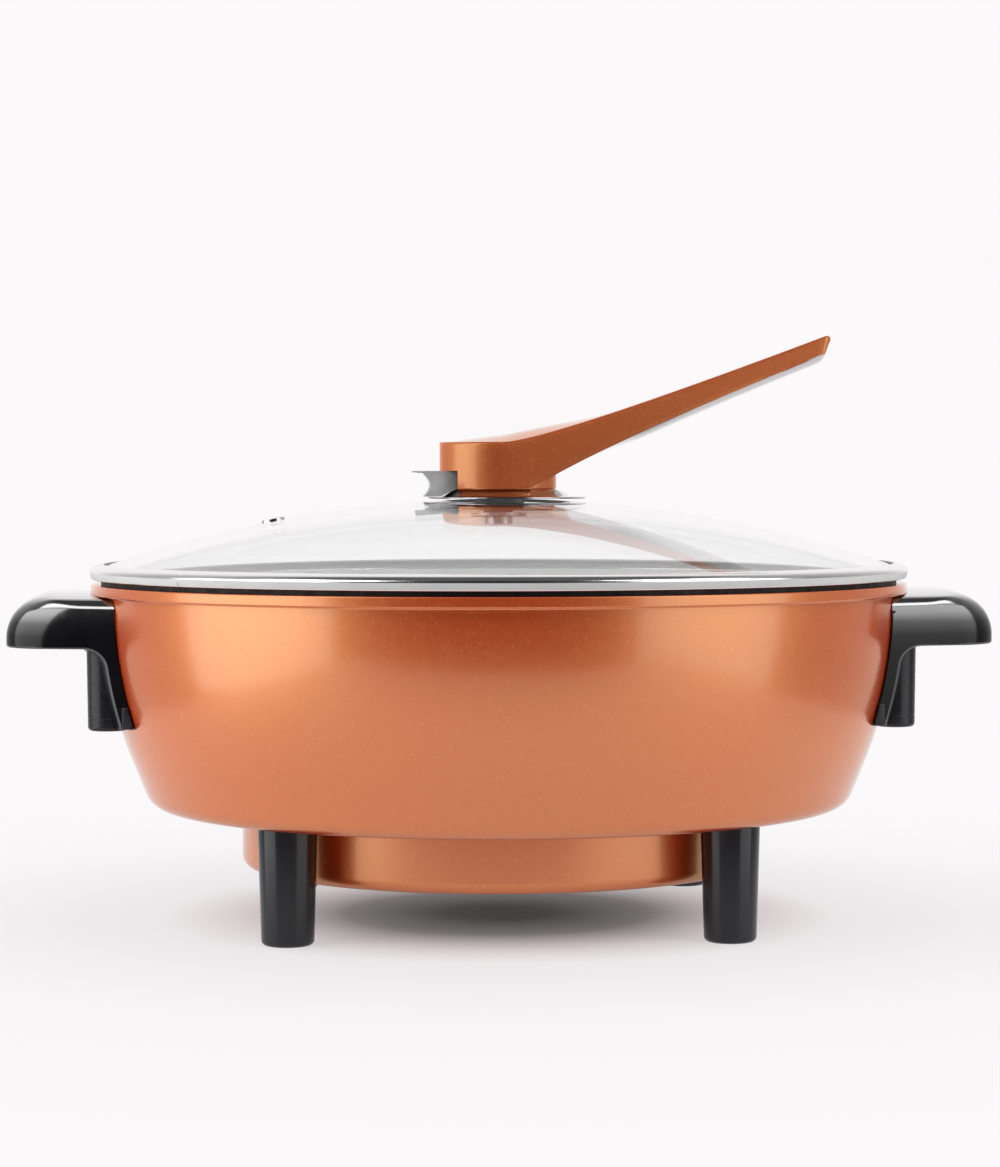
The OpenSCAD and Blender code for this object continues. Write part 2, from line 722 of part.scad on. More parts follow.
module handle() {
    color(black) difference() {
        union() {
            intersection() {
                rotate_extrude() polygon(handle_section);
                translate([0, 0, handle_foot_z - overlap]) linear_extrude(handle_h + 2 * overlap)
                    polygon(handle_plan);
                translate([0, handle_w, 0]) rotate([90, 0, 0]) linear_extrude(2 * handle_w)
                    polygon(handle_side);
                rotate([90, 0, 90]) linear_extrude(handle_end_x + overlap) polygon(handle_end);
            }
            at_ring(tower_axis_x, tower_angles)
                translate([0, 0, tower_foot_z]) cylinder(r = tower_r, h = grip_z - tower_foot_z + overlap);
        }
        pan_envelope(seat_gap);
        at_ring(0, tower_angles)
            translate([0, -lug_w / 2 - seat_gap, lug_z - seat_gap])
                cube([lug_x + lug_length + seat_gap, lug_w + 2 * seat_gap, lug_h + 2 * seat_gap]);
        at_ring(handle_screw_x, tower_angles)
            translate([0, 0, tower_foot_z - overlap]) {
                cylinder(r = screw_r + screw_gap, h = lug_z - tower_foot_z + 2 * overlap);
                cylinder(r = screw_head_r + screw_gap, h = handle_seat_z - tower_foot_z + overlap);
            }
    }
}

module left_handle() {
    mirror([1, 0, 0]) handle();
}

module right_handle() {
    handle();
}

module handle_screws() {
    color(steel) at_ring(handle_screw_x, handle_angles)
        translate([0, 0, handle_seat_z]) screw(screw_r, handle_screw_length, screw_head_r, screw_head_h);
}

// A radial hole through the glass at the steam vent
module vent_axis() {
    translate([0, 0, glass_centre_z]) rotate([0, -vent_tilt, 0])
        translate([0, 0, glass_curve_r]) children();
}

module lid_glass() {
    color(clear_glass) difference() {
        intersection() {
            translate([0, 0, glass_centre_z]) sphere(r = glass_curve_r);
            translate([0, 0, glass_edge_z]) cylinder(r = glass_edge_r, h = glass_top_z);
        }
        translate([0, 0, glass_centre_z]) sphere(r = glass_curve_r - glass_t);
        translate([0, 0, glass_edge_z]) cylinder(r = centre_hole_r, h = glass_top_z);
        vent_axis() translate([0, 0, -2 * glass_t])
            cylinder(r = vent_hole_r + vent_wall + seat_gap, h = 4 * glass_t);
    }
}

// Height of the glass's outer face at a radius
function glass_z(r) = glass_centre_z + sqrt(pow(glass_curve_r, 2) - pow(r, 2));

module lid_rim() {
    round_r = lid_rim_h / 3;
    crown_w = lid_r - lid_lip_r;
    crown_h = lid_rim_h / 2;
    crown_z = lid_rim_top_z - crown_h;
    outer = concat(
        arc([lid_r - round_r, lid_z + round_r], round_r, -90, 0, 6),
        [for (i = [0 : 10]) [lid_lip_r + crown_w * cos(i * 9), crown_z + crown_h * sin(i * 9)]]
    );
    inner_w = crown_w - lid_rim_sheet;
    inner_h = crown_h - lid_rim_sheet;
    inner_round = round_r - lid_rim_sheet;
    inner = concat(
        [for (i = [0 : 10]) [lid_lip_r + inner_w * sin(i * 9), crown_z + inner_h * cos(i * 9)]],
        arc([lid_r - round_r, lid_z + round_r], inner_round, 0, -90, 6)
    );
    color(steel) rotate_extrude()
        polygon(concat([[seal_inner_r, lid_z]], outer, inner, [[seal_inner_r, lid_z + lid_rim_sheet]]));
}

module lid_seal() {
    color(black) rotate_extrude()
        polygon([
            [seal_inner_r, lid_z], [seal_inner_r + seal_w, lid_z], [seal_inner_r + seal_w, rim_z],
            [seal_skirt_r, rim_z], [seal_skirt_r - 0.5, rim_z - seal_skirt],
            [seal_inner_r, rim_z - seal_skirt]
        ]);
}

// An eyelet that is rolled over on both faces of the glass
module steam_vent() {
    tube_r = vent_hole_r + vent_wall;
    under_r = vent_flange_r - vent_flange_t / 2;
    under_z = -glass_t - vent_seat;
    color(steel) vent_axis() rotate_extrude()
        polygon([
            [vent_hole_r, under_z - vent_flange_t], [under_r, under_z - vent_flange_t], [under_r, under_z],
            [tube_r, under_z], [tube_r, vent_seat], [vent_flange_r, vent_seat],
            [vent_flange_r, vent_seat + vent_flange_t / 2],
            [vent_flange_r - vent_flange_t / 2, vent_seat + vent_flange_t],
            [vent_hole_r, vent_seat + vent_flange_t]
        ]);
}

// A grommet through the glass that carries the domed washer
module glass_gasket() {
    tube_r = centre_hole_r - seat_gap;
    bore_r = lid_screw_r + screw_gap;
    flange_top = under_washer_z + under_washer_t + gasket_flange;
    upper_z = glass_top_z + gasket_seat;
    color(silicone) rotate_extrude()
        polygon([
            [bore_r, flange_top - gasket_flange], [gasket_flange_r, flange_top - gasket_flange],
            [gasket_flange_r, flange_top], [tube_r, flange_top], [tube_r, upper_z],
            [gasket_flange_r, upper_z],
            [gasket_flange_r, knob_z - washer_sheet], [bore_r, knob_z - washer_sheet]
        ]);
}

module under_washer() {
    color(steel) translate([0, 0, under_washer_z]) difference() {
        cylinder(r = gasket_flange_r + 1, h = under_washer_t);
        translate([0, 0, -overlap]) cylinder(r = lid_screw_r + screw_gap, h = under_washer_t + 2 * overlap);
    }
}

// The domed washer: a flat flange, a cone and a flat top that the knob stands on
washer_flange_r = washer_r - 5;
washer_crown_r = washer_r - 11;
washer_flange_z = glass_top_z + 0.1;

module lid_washer() {
    rise = [0, washer_sheet];
    under = [
        [washer_r, washer_flange_z], [washer_flange_r, washer_flange_z],
        [washer_crown_r, knob_z - washer_sheet], [0, knob_z - washer_sheet]
    ];
    color(steel) difference() {
        translate([washer_offset, 0, 0]) rotate_extrude()
            polygon(concat(under, reversed(shifted(under, rise))));
        translate([0, 0, glass_top_z]) cylinder(r = lid_screw_r + screw_gap, h = washer_h + overlap);
    }
}

module lid_screw() {
    color(steel) translate([0, 0, under_washer_z])
        screw(lid_screw_r, knob_z + lid_screw_depth - under_washer_z, lid_screw_head_r, lid_screw_head_h);
}

// The clip: a thin upper lip, a waisted body and a foot that follows the domed washer
module ladle_clip() {
    tip_x = notch_x - clip_length;
    body_x = notch_x - 0.75 * clip_length;
    waist_x = notch_x - 0.6 * clip_length;
    foot_z = washer_flange_z + washer_sheet + seat_gap;
    slope_x = washer_offset - washer_flange_r - seat_gap;
    lip_z = notch_z - clip_sheet;
    color(steel) translate([0, clip_w / 2, 0]) rotate([90, 0, 0]) linear_extrude(clip_w)
        polygon([
            [tip_x, notch_z], [tip_x, notch_z - clip_sheet / 2], [body_x, lip_z],
            [waist_x, (lip_z + foot_z) / 2], [body_x, foot_z], [slope_x, foot_z],
            [notch_x, knob_z + seat_gap], [notch_x, notch_z]
        ]);
}

// Quadratic curve from a to c, drawn towards b
function bezier(a, b, c, t) = pow(1 - t, 2) * a + 2 * t * (1 - t) * b + pow(t, 2) * c;

// The lever's two edges, seen from the side: x and z
lever_steps = 16;
head_steps = 12;
lever_slant = 1.6;
lever_top_tip = [lever_reach, knob_edge_z + lever_rise];
lever_low_tip = [lever_reach - lever_slant, knob_edge_z + lever_rise - lever_tip_t];
lever_top_start = [knob_r / 6, knob_edge_z];
lever_low_start = [knob_r / 2, knob_z];
lever_top_bend = [lever_reach / 5, knob_edge_z];
lever_low_bend = [1.55 * knob_r, knob_z + 0.81 * knob_h];
function lever_top(t) = bezier(lever_top_start, lever_top_bend, lever_top_tip, t);
function lever_low(t) = bezier(lever_low_start, lever_low_bend, lever_low_tip, t);

// Half width of the handle at x: round at the knob, then a straight taper to the tip
function lever_half(x) =
    x < 0 ? sqrt(pow(knob_r, 2) - pow(x, 2)) : knob_r - (knob_r - lever_tip_w / 2) * x / lever_reach;

// A smooth step from 0 to 1 between two places
function smooth(x, from, to) =
    let (s = max(0, min(1, (x - from) / (to - from))))
    s * s * (3 - 2 * s);

function crown_at(x) =
    knob_crown * smooth(x, -1.2 * knob_r, 0.35 * knob_r) * (1 - smooth(x, 0.35 * knob_r, 2.4 * knob_r));
function belly_at(x) = lever_belly * smooth(x, 1.3 * knob_r, 2.6 * knob_r);

// One ring of points: up the near side, over the crowned top, down the far side and back under the belly
across = [for (i = [-4 : 4]) i / 4];
function lever_ring(top, low) =
    let (
        top_w = lever_half(top[0]),
        low_w = lever_half(low[0]),
        crown = crown_at(top[0]),
        belly = belly_at(low[0])
    )
    concat(
        [for (v = across) [top[0], v * top_w, top[1] + crown * (1 - v * v)]],
        [for (v = across) [low[0], -v * low_w, low[1] - belly * (1 - v * v)]]
    );

head_start = 8;
lever_rings = concat(
    [
        for (i = [0 : head_steps])
            let (x = -knob_r * cos(head_start + (90 - head_start) * i / head_steps))
            lever_ring([x, knob_edge_z], [x, knob_z])
    ],
    [for (i = [0 : lever_steps]) lever_ring(lever_top(i / lever_steps), lever_low(i / lever_steps))]
);

// A closed skin over rings that have the same number of points
module skin(rings) {
    n = len(rings[0]);
    last = len(rings) - 1;
    sides = [
        for (j = [0 : last - 1], i = [0 : n - 1])
            let (a = j * n + i, b = j * n + (i + 1) % n)
            each [[a, b, b + n], [a, b + n, a + n]]
    ];
    first_cap = [for (i = [0 : n / 2 - 2]) each [[i, n - 2 - i, i + 1], [i, n - 1 - i, n - 2 - i]]];
    last_cap = [for (f = first_cap) [last * n + f[0], last * n + f[2], last * n + f[1]]];
    polyhedron(points = [for (ring = rings, p = ring) p], faces = concat(sides, first_cap, last_cap));
}

module lid_handle() {
    base_under_r = knob_r - 0.5;
    color(copper) difference() {
        union() {
            skin(lever_rings);
            translate([0, 0, knob_z]) cylinder(r = base_under_r, h = knob_h / 2);
        }
        translate([-2 * knob_r + notch_x, -knob_r, knob_z - overlap])
            cube([2 * knob_r, 2 * knob_r, notch_h + overlap]);
        translate([0, 0, knob_z - overlap])
            cylinder(r = lid_screw_r + screw_gap, h = lid_screw_depth + 2 * overlap);
    }
}

pan();
heater_plate();
heating_element();
terminal_beads();
line_pin();
neutral_pin();
probe_tube();
earth_contact();
earth_screw();
heat_reflector();
spacer_sleeves();
base_housing();
bottom_cover();
cover_screws();
inlet_housing();
inlet_screws();
leg_front_left();
leg_front_right();
leg_rear_left();
leg_rear_right();
leg_screws();
left_handle();
right_handle();
handle_screws();
lid_glass();
lid_rim();
lid_seal();
steam_vent();
glass_gasket();
lid_washer();
under_washer();
lid_screw();
ladle_clip();
lid_handle();
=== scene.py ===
# Electric skillet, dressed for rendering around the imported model.
import math

import bmesh
import bpy
from mathutils import Matrix, Vector


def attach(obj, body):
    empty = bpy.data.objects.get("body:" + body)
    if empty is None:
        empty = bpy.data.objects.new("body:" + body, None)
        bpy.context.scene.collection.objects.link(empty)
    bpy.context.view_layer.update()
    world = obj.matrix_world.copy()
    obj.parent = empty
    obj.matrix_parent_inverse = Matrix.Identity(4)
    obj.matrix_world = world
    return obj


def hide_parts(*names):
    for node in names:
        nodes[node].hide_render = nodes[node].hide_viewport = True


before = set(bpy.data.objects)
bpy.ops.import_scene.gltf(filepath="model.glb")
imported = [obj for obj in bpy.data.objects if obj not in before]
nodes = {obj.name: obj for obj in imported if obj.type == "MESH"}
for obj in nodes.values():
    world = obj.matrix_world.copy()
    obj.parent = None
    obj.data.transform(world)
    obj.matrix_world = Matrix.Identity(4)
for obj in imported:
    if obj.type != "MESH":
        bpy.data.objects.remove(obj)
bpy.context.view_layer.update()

# Unit and clearances: sizes of the part are in millimetres, and MM turns them into metres
MM = 0.001
GAP = 0.3
HAIR = 0.02

# Pan
LIP_R = 159.6
RIM_Z = 130.8
LIP_H = 4.7
LIP_EDGE = 0.5
LIP_ROUND = 0.5
LIP_WIDTH = 3.5
LIP_HOLLOW = 0.8
INNER_EDGE = 0.6
CURVE_R = 170.6
SLOPE = 22.0
WALL = 3.5
FLOOR = 5.0
CORNER_R = 8.7
INSIDE_R = 14.0
WALL_TOP_R = LIP_R - LIP_WIDTH
WALL_TOP_Z = RIM_Z - LIP_H
CENTRE_R = WALL_TOP_R - CURVE_R
INSIDE_TOP = WALL_TOP_R - WALL

# Legs
LEG_PLACES = (
    ("leg_front_left", 225), ("leg_front_right", 315), ("leg_rear_left", 135), ("leg_rear_right", 45),
)
LEG_H = 43.75
LEG_RING = 115.7
LEG_TOP_R = 11.0
LEG_TOP_EDGE = 0.6
LEG_FOOT_R = 9.8
LEG_FOOT_EDGE = 2.0
LEG_HEAD_R = 3.7
LEG_HEAD_Z = 18.0
LEG_BORE_R = 2.15
LEG_BOSS_R = 5.3
LEG_BOSS_Z = 34.45

# Base cup
BASE_R = 101.0
BASE_Z = 20.0
BASE_ROUND = 4.5
SHEET = 1.2
COVER_R = 80.6
COVER_SEAT_R = 72.0
WINDOW_LOW = (-28.3, 60.0, 26.55)
WINDOW_HIGH = (28.3, 110.0, 60.0)

# Side handles
REACH = 189.7
HALF = 54.0
CORNER = 16.5
GRIP_EDGE = 6.0
GRIP_END = 16.0
GRIP_LOW_EDGE = 1.2
GRIP_CROWN = 1.6
FACE_EDGE = 0.8
GRIP_TOP = RIM_Z - 2.8
GRIP_LOW = GRIP_TOP - 20.5
FOOT_Z = GRIP_TOP - 50.7
PLATE_R = CURVE_R + GAP + 5.0
HOLLOW = 8.0
HOLLOW_Z = GRIP_LOW - HOLLOW
HOLLOW_X = CENTRE_R + math.sqrt((PLATE_R + HOLLOW) ** 2 - (HOLLOW_Z - WALL_TOP_Z) ** 2)
HOLLOW_A = math.degrees(math.atan2(HOLLOW_Z - WALL_TOP_Z, HOLLOW_X - CENTRE_R))
PLATE_FOOT_A = math.degrees(math.asin((FOOT_Z - WALL_TOP_Z) / PLATE_R))
TAPER = math.tan(math.radians(15.0))
SIDES = (("left_handle", -1.0), ("right_handle", 1.0))
ENDS = (("front", -1.0), ("rear", 1.0))

# Screw posts and pads of the side handles
TOWER_RING = 155.5
TOWER_Y = HALF - 15.0
TOWER_X = math.sqrt(TOWER_RING ** 2 - TOWER_Y ** 2)
TOWER_Z = FOOT_Z - 1.2
TOWER_TOP = GRIP_LOW + 1.0
TOWER_R = 7.65
TOWER_GROWTH = 0.35
TOWER_GROWTH_Z = TOWER_Z + 6.0
TOWER_FOOT_R = 7.6
TOWER_FOOT_EDGE = 1.5
GROOVE_Z = TOWER_Z + 4.6
GROOVE_HALF = 0.2
GROOVE_DEPTH = 0.1
TOWER_STEPS = 12
TOWER_BORE_R = 3.55
TOWER_BORE_TOP = FOOT_Z + 2.2
PAD_INNER_X = 140.3
PAD_OUTER_X = 144.3
PAD_LOW = FOOT_Z + 0.1
PAD_TOP = FOOT_Z + 8.3
PAD_CLEAR = 0.4
PAD_SUNK = 1.0
PAD_PROUD = 0.6

# Lid
LID_Z = 132.7
LID_R = 160.0
LID_H = 5.8
LID_LIP = 5.5
LID_SHEET = 0.7
LID_TOP = LID_Z + LID_H
RING_INNER_R = 150.2
RING_UNDER = 3.4
RING_FOOT = 1.25
RING_FOOT_EDGE = 0.5
SEAM_ANGLE = 221.0
SEAM_HALF_TURN = 0.12
SEAM_PROUD = 0.05
SEAM_SUNK = 0.2
SEAL_R = 155.5
# Radius beyond which the seal is painted near-black as painted shade
SEAL_SHADE_R = 153.0
SKIRT = 1.8
SKIRT_BEND = RIM_Z - 1.0
SKIRT_EDGE = 0.5
SKIRT_END = (RING_INNER_R + SKIRT_EDGE, RIM_Z - 3.6)
RIB_R = 0.8
UPPER_RIB = (RING_INNER_R + 1.0, RIM_Z - 1.5)
LOWER_RIB = (RING_INNER_R + RIB_R, RIM_Z - 3.1)
GLASS_R = 470.0
GLASS_T = 4.0
GLASS_EDGE_R = 157.8
GLASS_BEVEL = 0.5
GLASS_BEVEL_H = 0.6
GLASS_HOLE_R = 6.0
GLASS_GAP = 0.05
GLASS_PLAY = 0.4
GLASS_C = LID_TOP - LID_SHEET - GLASS_PLAY - math.sqrt(GLASS_R ** 2 - (LID_R - LID_LIP) ** 2)
GLASS_TOP = GLASS_C + GLASS_R

# Steam vent
VENT_X = 88.5
VENT_BORE_R = 2.0
VENT_BORE_EDGE = 0.5
VENT_NECK_R = 3.1
VENT_UNDER_R = 4.35
VENT_UNDER_T = 0.8
VENT_HEAD_R = 4.75
VENT_HEAD_EDGE = 0.4

# Lid handle, with the washer, the bush and the clip at its foot
KNOB_Z = GLASS_TOP + 3.8
KNOB_R = 23.2
KNOB_EDGE = KNOB_Z + 19.5
KNOB_BASE_R = KNOB_R - 0.5
KNOB_BASE_TOP = KNOB_Z + 9.7
KNOB_BASE_EDGE = 0.5
SCREW_BORE_R = 2.65
NOTCH_X = 6.5 - KNOB_R
NOTCH_Z = KNOB_Z + 7.2
NOTCH_REACH = (-80.0, 40.0, KNOB_Z - 5.0)
BORE_LOW = KNOB_Z - 2.0
BORE_TOP = KNOB_Z + 15.0
SIDE_EDGE = KNOB_EDGE - 1.1
RISE_START = (KNOB_R / 50, SIDE_EDGE)
RISE_BEND = (17.0, SIDE_EDGE)
LOW_START = (KNOB_R / 2, KNOB_Z)
LEVER_L = 130.0
LEVER_TIP_HALF = 13.0
LEVER_EDGE = 1.2
LEVER_LOW_EDGE = (0.4, 0.5)
LEVER_CROWN = 3.1
CROWN_FROM = -1.2 * KNOB_R
CROWN_TOP = 0.35 * KNOB_R
CROWN_TO = 2.2 * KNOB_R
LEVER_BELLY = 2.8
BELLY_FROM = 1.3 * KNOB_R
BELLY_FULL = 2.6 * KNOB_R
# Distance out along the lever from which its underside gets the pale painted reflection colour
PAINTED_REFLECTION_FROM = 1.2 * KNOB_R
TIP = (LEVER_L, KNOB_EDGE + 41.1)
LOW_TIP = (128.4, TIP[1] - 7.7)
LOW_BEND = (1.55 * KNOB_R, KNOB_Z + 15.8)
TIP_ROUND = 2.6
LEVER_CREASE = 32.0
WASHER_X = 3.4
WASHER_Z = GLASS_TOP + 0.1
WASHER_R = 31.0
WASHER_EDGE_R = 30.9
WASHER_T = 0.6
WASHER_RISE_R = 26.6
WASHER_RISE = 6.8
WASHER_FLAT_R = 18.0
WASHER_HOLE_R = 7.0
GROMMET_R = 10.0
GROMMET_NECK_R = 5.7
GROMMET_Z = 156.95
GROMMET_FLANGE_Z = 158.1
GROMMET_EDGE_H = 0.35
GROMMET_UNDER_EDGE = 0.4
GROMMET_UPPER_EDGE = 0.3
CLIP_HALF = 11.0
CLIP_TIP_X = NOTCH_X - 17.3
CLIP_BODY_X = NOTCH_X - 12.97
CLIP_WAIST_X = NOTCH_X - 10.38
CLIP_FOOT_X = WASHER_X - 26.5
CLIP_FOOT_Z = WASHER_Z + 0.9
CLIP_LIP_Z = NOTCH_Z - 0.8
CLIP_TIP_T = 0.5

# Edges that turn by more than this many degrees are shaded as sharp
CREASE = 35.0


# Shapes
def span(first, last, count):
    return [first + (last - first) * i / (count - 1) for i in range(count)]


def arc(cx, cz, r, first, last, steps):
    """Points on a circle between two angles in degrees."""
    turns = [math.radians(a) for a in span(first, last, steps + 1)]
    return [(cx + r * math.cos(t), cz + r * math.sin(t)) for t in turns]


def step(x, low, high):
    """A soft step from 0 at low to 1 at high."""
    s = min(1.0, max(0.0, (x - low) / (high - low)))
    return s * s * (3 - 2 * s)


def bezier(a, b, c, t):
    return tuple((1 - t) ** 2 * p + 2 * t * (1 - t) * q + t * t * s for p, q, s in zip(a, b, c))


def clean(points):
    """The points without repeats of the one before."""
    out = []
    for p in points:
        if not out or math.dist(p, out[-1]) > 1e-4:
            out.append(p)
    if math.dist(out[0], out[-1]) < 1e-4:
        out.pop()
    return out


def smooth(mesh, angle):
    """Smooth shading between sharp creases, with flat end caps."""
    mesh.polygons.foreach_set("use_smooth", [len(p.vertices) <= 8 for p in mesh.polygons])
    mesh.set_sharp_from_angle(angle=math.radians(angle))
    mesh.update()


def build(name, verts, faces, angle=CREASE, outward=True):
    mesh = bpy.data.meshes.new(name)
    mesh.from_pydata([(x * MM, y * MM, z * MM) for x, y, z in verts], [], faces)
    if outward:
        bm = bmesh.new()
        bm.from_mesh(mesh)
        bmesh.ops.recalc_face_normals(bm, faces=bm.faces)
        bm.to_mesh(mesh)
        bm.free()
    smooth(mesh, angle)
    obj = bpy.data.objects.new(name, mesh)
    bpy.context.scene.collection.objects.link(obj)
    return obj


def lathe(name, profile, steps=192, at=(0.0, 0.0), angle=CREASE, fix=None):
    """A closed profile of (radius, height) turned about an upright axis."""
    profile = clean(profile)
    verts, faces, rings = [], [], []
    for r, z in profile:
        start = len(verts)
        if r < 1e-6:
            verts.append((at[0], at[1], z))
            rings.append([start] * steps)
            continue
        for k in range(steps):
            a = 2 * math.pi * k / steps
            p = (at[0] + r * math.cos(a), at[1] + r * math.sin(a), z)
            verts.append(fix(p) if fix else p)
        rings.append(list(range(start, start + steps)))
    n = len(profile)
    for i in range(n):
        a, b = rings[i], rings[(i + 1) % n]
        for k in range(steps):
            m = (k + 1) % steps
            face = []
            for v in (a[k], b[k], b[m], a[m]):
                if v not in face:
                    face.append(v)
            if len(face) > 2:
                faces.append(face)
    return build(name, verts, faces, angle)


def loft(name, rings, angle=CREASE):
    """A closed skin over rings that have the same number of points."""
    n = len(rings[0])
    verts = [p for ring in rings for p in ring]
    faces = []
    for j in range(len(rings) - 1):
        for i in range(n):
            m = (i + 1) % n
            faces.append((j * n + i, j * n + m, (j + 1) * n + m, (j + 1) * n + i))
    faces.append(tuple(range(n)))
    faces.append(tuple(range((len(rings) - 1) * n, len(rings) * n)))
    return build(name, verts, faces, angle)


def block(name, low, high):
    x0, y0, z0 = low
    x1, y1, z1 = high
    verts = [(x, y, z) for z in (z0, z1) for y in (y0, y1) for x in (x0, x1)]
    faces = [(0, 2, 3, 1), (4, 5, 7, 6), (0, 1, 5, 4), (2, 6, 7, 3), (0, 4, 6, 2), (1, 3, 7, 5)]
    return build(name, verts, faces)


def bake(obj, angle=CREASE):
    """Puts the result of the modifiers into the object's own mesh."""
    depsgraph = bpy.context.evaluated_depsgraph_get()
    mesh = bpy.data.meshes.new_from_object(obj.evaluated_get(depsgraph))
    old = obj.data
    obj.modifiers.clear()
    obj.data = mesh
    bpy.data.meshes.remove(old)
    smooth(obj.data, angle)


def cut(obj, cutter, angle=CREASE):
    mod = obj.modifiers.new("cut", "BOOLEAN")
    mod.operation = "DIFFERENCE"
    mod.solver = "EXACT"
    mod.object = cutter
    bake(obj, angle)
    bpy.data.objects.remove(cutter)


def round_edges(obj, width, segments, limit, angle):
    mod = obj.modifiers.new("bevel", "BEVEL")
    mod.width = width * MM
    mod.segments = segments
    mod.limit_method = "ANGLE"
    mod.angle_limit = math.radians(limit)
    mod.harden_normals = False
    bake(obj, angle)


def paint(obj, *mats):
    obj.data.materials.clear()
    for m in mats:
        obj.data.materials.append(m)


def outward_share(face):
    """How much a face looks outward (above 0) or inward (below 0), seen from the part's axis."""
    c = face.center
    return (face.normal.x * c.x + face.normal.y * c.y) / math.hypot(c.x, c.y)


def place(obj, body, slot, *replaced):
    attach(obj, body)
    if replaced:
        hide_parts(*replaced)
    return obj


# Shader nodes
def feed(tree, value, socket):
    """Gives a socket a number or colour, or links another node's output to it."""
    if isinstance(value, bpy.types.NodeSocket):
        tree.links.new(value, socket)
    else:
        socket.default_value = value


def shader(name, **inputs):
    mat = bpy.data.materials.new(name)
    mat.use_nodes = True
    bsdf = mat.node_tree.nodes["Principled BSDF"]
    for key, value in inputs.items():
        bsdf.inputs[key.replace("_", " ")].default_value = value
    return mat, mat.node_tree, bsdf


def noise(tree, scale, detail=2.0, rough=0.5, stretch=None):
    coord = tree.nodes.new("ShaderNodeTexCoord")
    tex = tree.nodes.new("ShaderNodeTexNoise")
    tex.inputs["Scale"].default_value = scale
    tex.inputs["Detail"].default_value = detail
    tex.inputs["Roughness"].default_value = rough
    if stretch:
        mapping = tree.nodes.new("ShaderNodeMapping")
        mapping.inputs["Scale"].default_value = stretch
        tree.links.new(coord.outputs["Object"], mapping.inputs["Vector"])
        tree.links.new(mapping.outputs["Vector"], tex.inputs["Vector"])
    else:
        tree.links.new(coord.outputs["Object"], tex.inputs["Vector"])
    return tex.outputs["Fac"]


def ramp(tree, source, stops):
    """Colours that follow a value, as stops of (value, colour)."""
    node = tree.nodes.new("ShaderNodeValToRGB")
    elements = node.color_ramp.elements
    for element, (position, colour) in zip(elements, (stops[0], stops[-1])):
        element.position = position
        element.color = (*colour, 1.0)
    for position, colour in stops[1:-1]:
        elements.new(position).color = (*colour, 1.0)
    tree.links.new(source, node.inputs["Fac"])
    return node.outputs["Color"]


def greys(stops):
    return [(position, (grey,) * 3) for position, grey in stops]


def map_range(tree, source, low, high, to_low=0.0, to_high=1.0, kind="LINEAR"):
    node = tree.nodes.new("ShaderNodeMapRange")
    node.interpolation_type = kind
    node.inputs["From Min"].default_value = low
    node.inputs["From Max"].default_value = high
    node.inputs["To Min"].default_value = to_low
    node.inputs["To Max"].default_value = to_high
    tree.links.new(source, node.inputs["Value"])
    return node.outputs["Result"]


def spread(tree, source, low, high):
    """Spreads the middle of a noise over a range of values."""
    return map_range(tree, source, 0.3, 0.7, low, high)


def calculate(tree, operation, *values, clamp=False):
    node = tree.nodes.new("ShaderNodeMath")
    node.operation = operation
    node.use_clamp = clamp
    for value, socket in zip(values, node.inputs):
        feed(tree, value, socket)
    return node.outputs["Value"]


def split_xyz(tree, source):
    node = tree.nodes.new("ShaderNodeSeparateXYZ")
    tree.links.new(source, node.inputs["Vector"])
    return node.outputs


def mix_colours(tree, share, first, second):
    """A mix of two colours. Inputs 6 and 7 and output 2 are the node's colour sockets."""
    node = tree.nodes.new("ShaderNodeMix")
    node.data_type = "RGBA"
    feed(tree, share, node.inputs["Factor"])
    feed(tree, first, node.inputs[6])
    feed(tree, second, node.inputs[7])
    return node.outputs[2]


def bump(tree, bsdf, source, strength, distance):
    node = tree.nodes.new("ShaderNodeBump")
    node.inputs["Strength"].default_value = strength
    node.inputs["Distance"].default_value = distance
    tree.links.new(source, node.inputs["Height"])
    tree.links.new(node.outputs["Normal"], bsdf.inputs["Normal"])


def dress(tree, bsdf, colour, roughness):
    tree.links.new(colour, bsdf.inputs["Base Color"])
    tree.links.new(roughness, bsdf.inputs["Roughness"])


def fade(mat, socket, stops):
    """Lets a value of the material follow the height in the part, in metres."""
    tree = mat.node_tree
    coord = tree.nodes.new("ShaderNodeTexCoord")
    height = split_xyz(tree, coord.outputs["Object"])["Z"]
    low, high = stops[0][0], stops[-1][0]
    share = map_range(tree, height, low, high)
    values = ramp(tree, share, greys(((z - low) / (high - low), v) for z, v in stops))
    tree.links.new(values, tree.nodes["Principled BSDF"].inputs[socket])


# Materials
def copper(name, dark, mid, light, rough, coat, tint=(1.0, 0.54, 0.21), grain=0.10):
    """Metallic paint: a saturated pigment, golden flakes and a clear coat."""
    mat, tree, bsdf = shader(
        name, IOR=4.6, Specular_Tint=(*tint, 1.0), Coat_Weight=coat, Coat_Roughness=0.14
    )
    flake = noise(tree, 1500.0, 1.0, 0.5)
    tones = ramp(tree, flake, [(0.3, dark), (0.60, mid), (0.80, light)])
    sheen = spread(tree, flake, rough * 0.87, rough * 1.13)
    layer = tree.nodes.new("ShaderNodeLayerWeight")
    layer.inputs["Blend"].default_value = 0.5
    flat = map_range(tree, layer.outputs["Facing"], 0.60, 0.92, 1.0, 0.35)
    dress(tree, bsdf, tones, calculate(tree, "MULTIPLY", sheen, flat))
    bump(tree, bsdf, noise(tree, 1900.0, 2.0, 0.6), grain, 0.0002)
    return mat


def plastic(name, dark, light, rough, grain_scale, grain, ior=1.5, wear=0.25):
    mat, tree, bsdf = shader(name, IOR=ior, Coat_Weight=0.0, Coat_Roughness=0.06)
    tones = ramp(tree, noise(tree, 60.0, 3.0), [(0.35, dark), (0.65, light)])
    sheen = spread(tree, noise(tree, 420.0, 3.0), rough * (1 - 0.8 * wear), rough * (1 + wear))
    dress(tree, bsdf, tones, sheen)
    bump(tree, bsdf, noise(tree, grain_scale, 2.0), grain, 0.0002)
    return mat


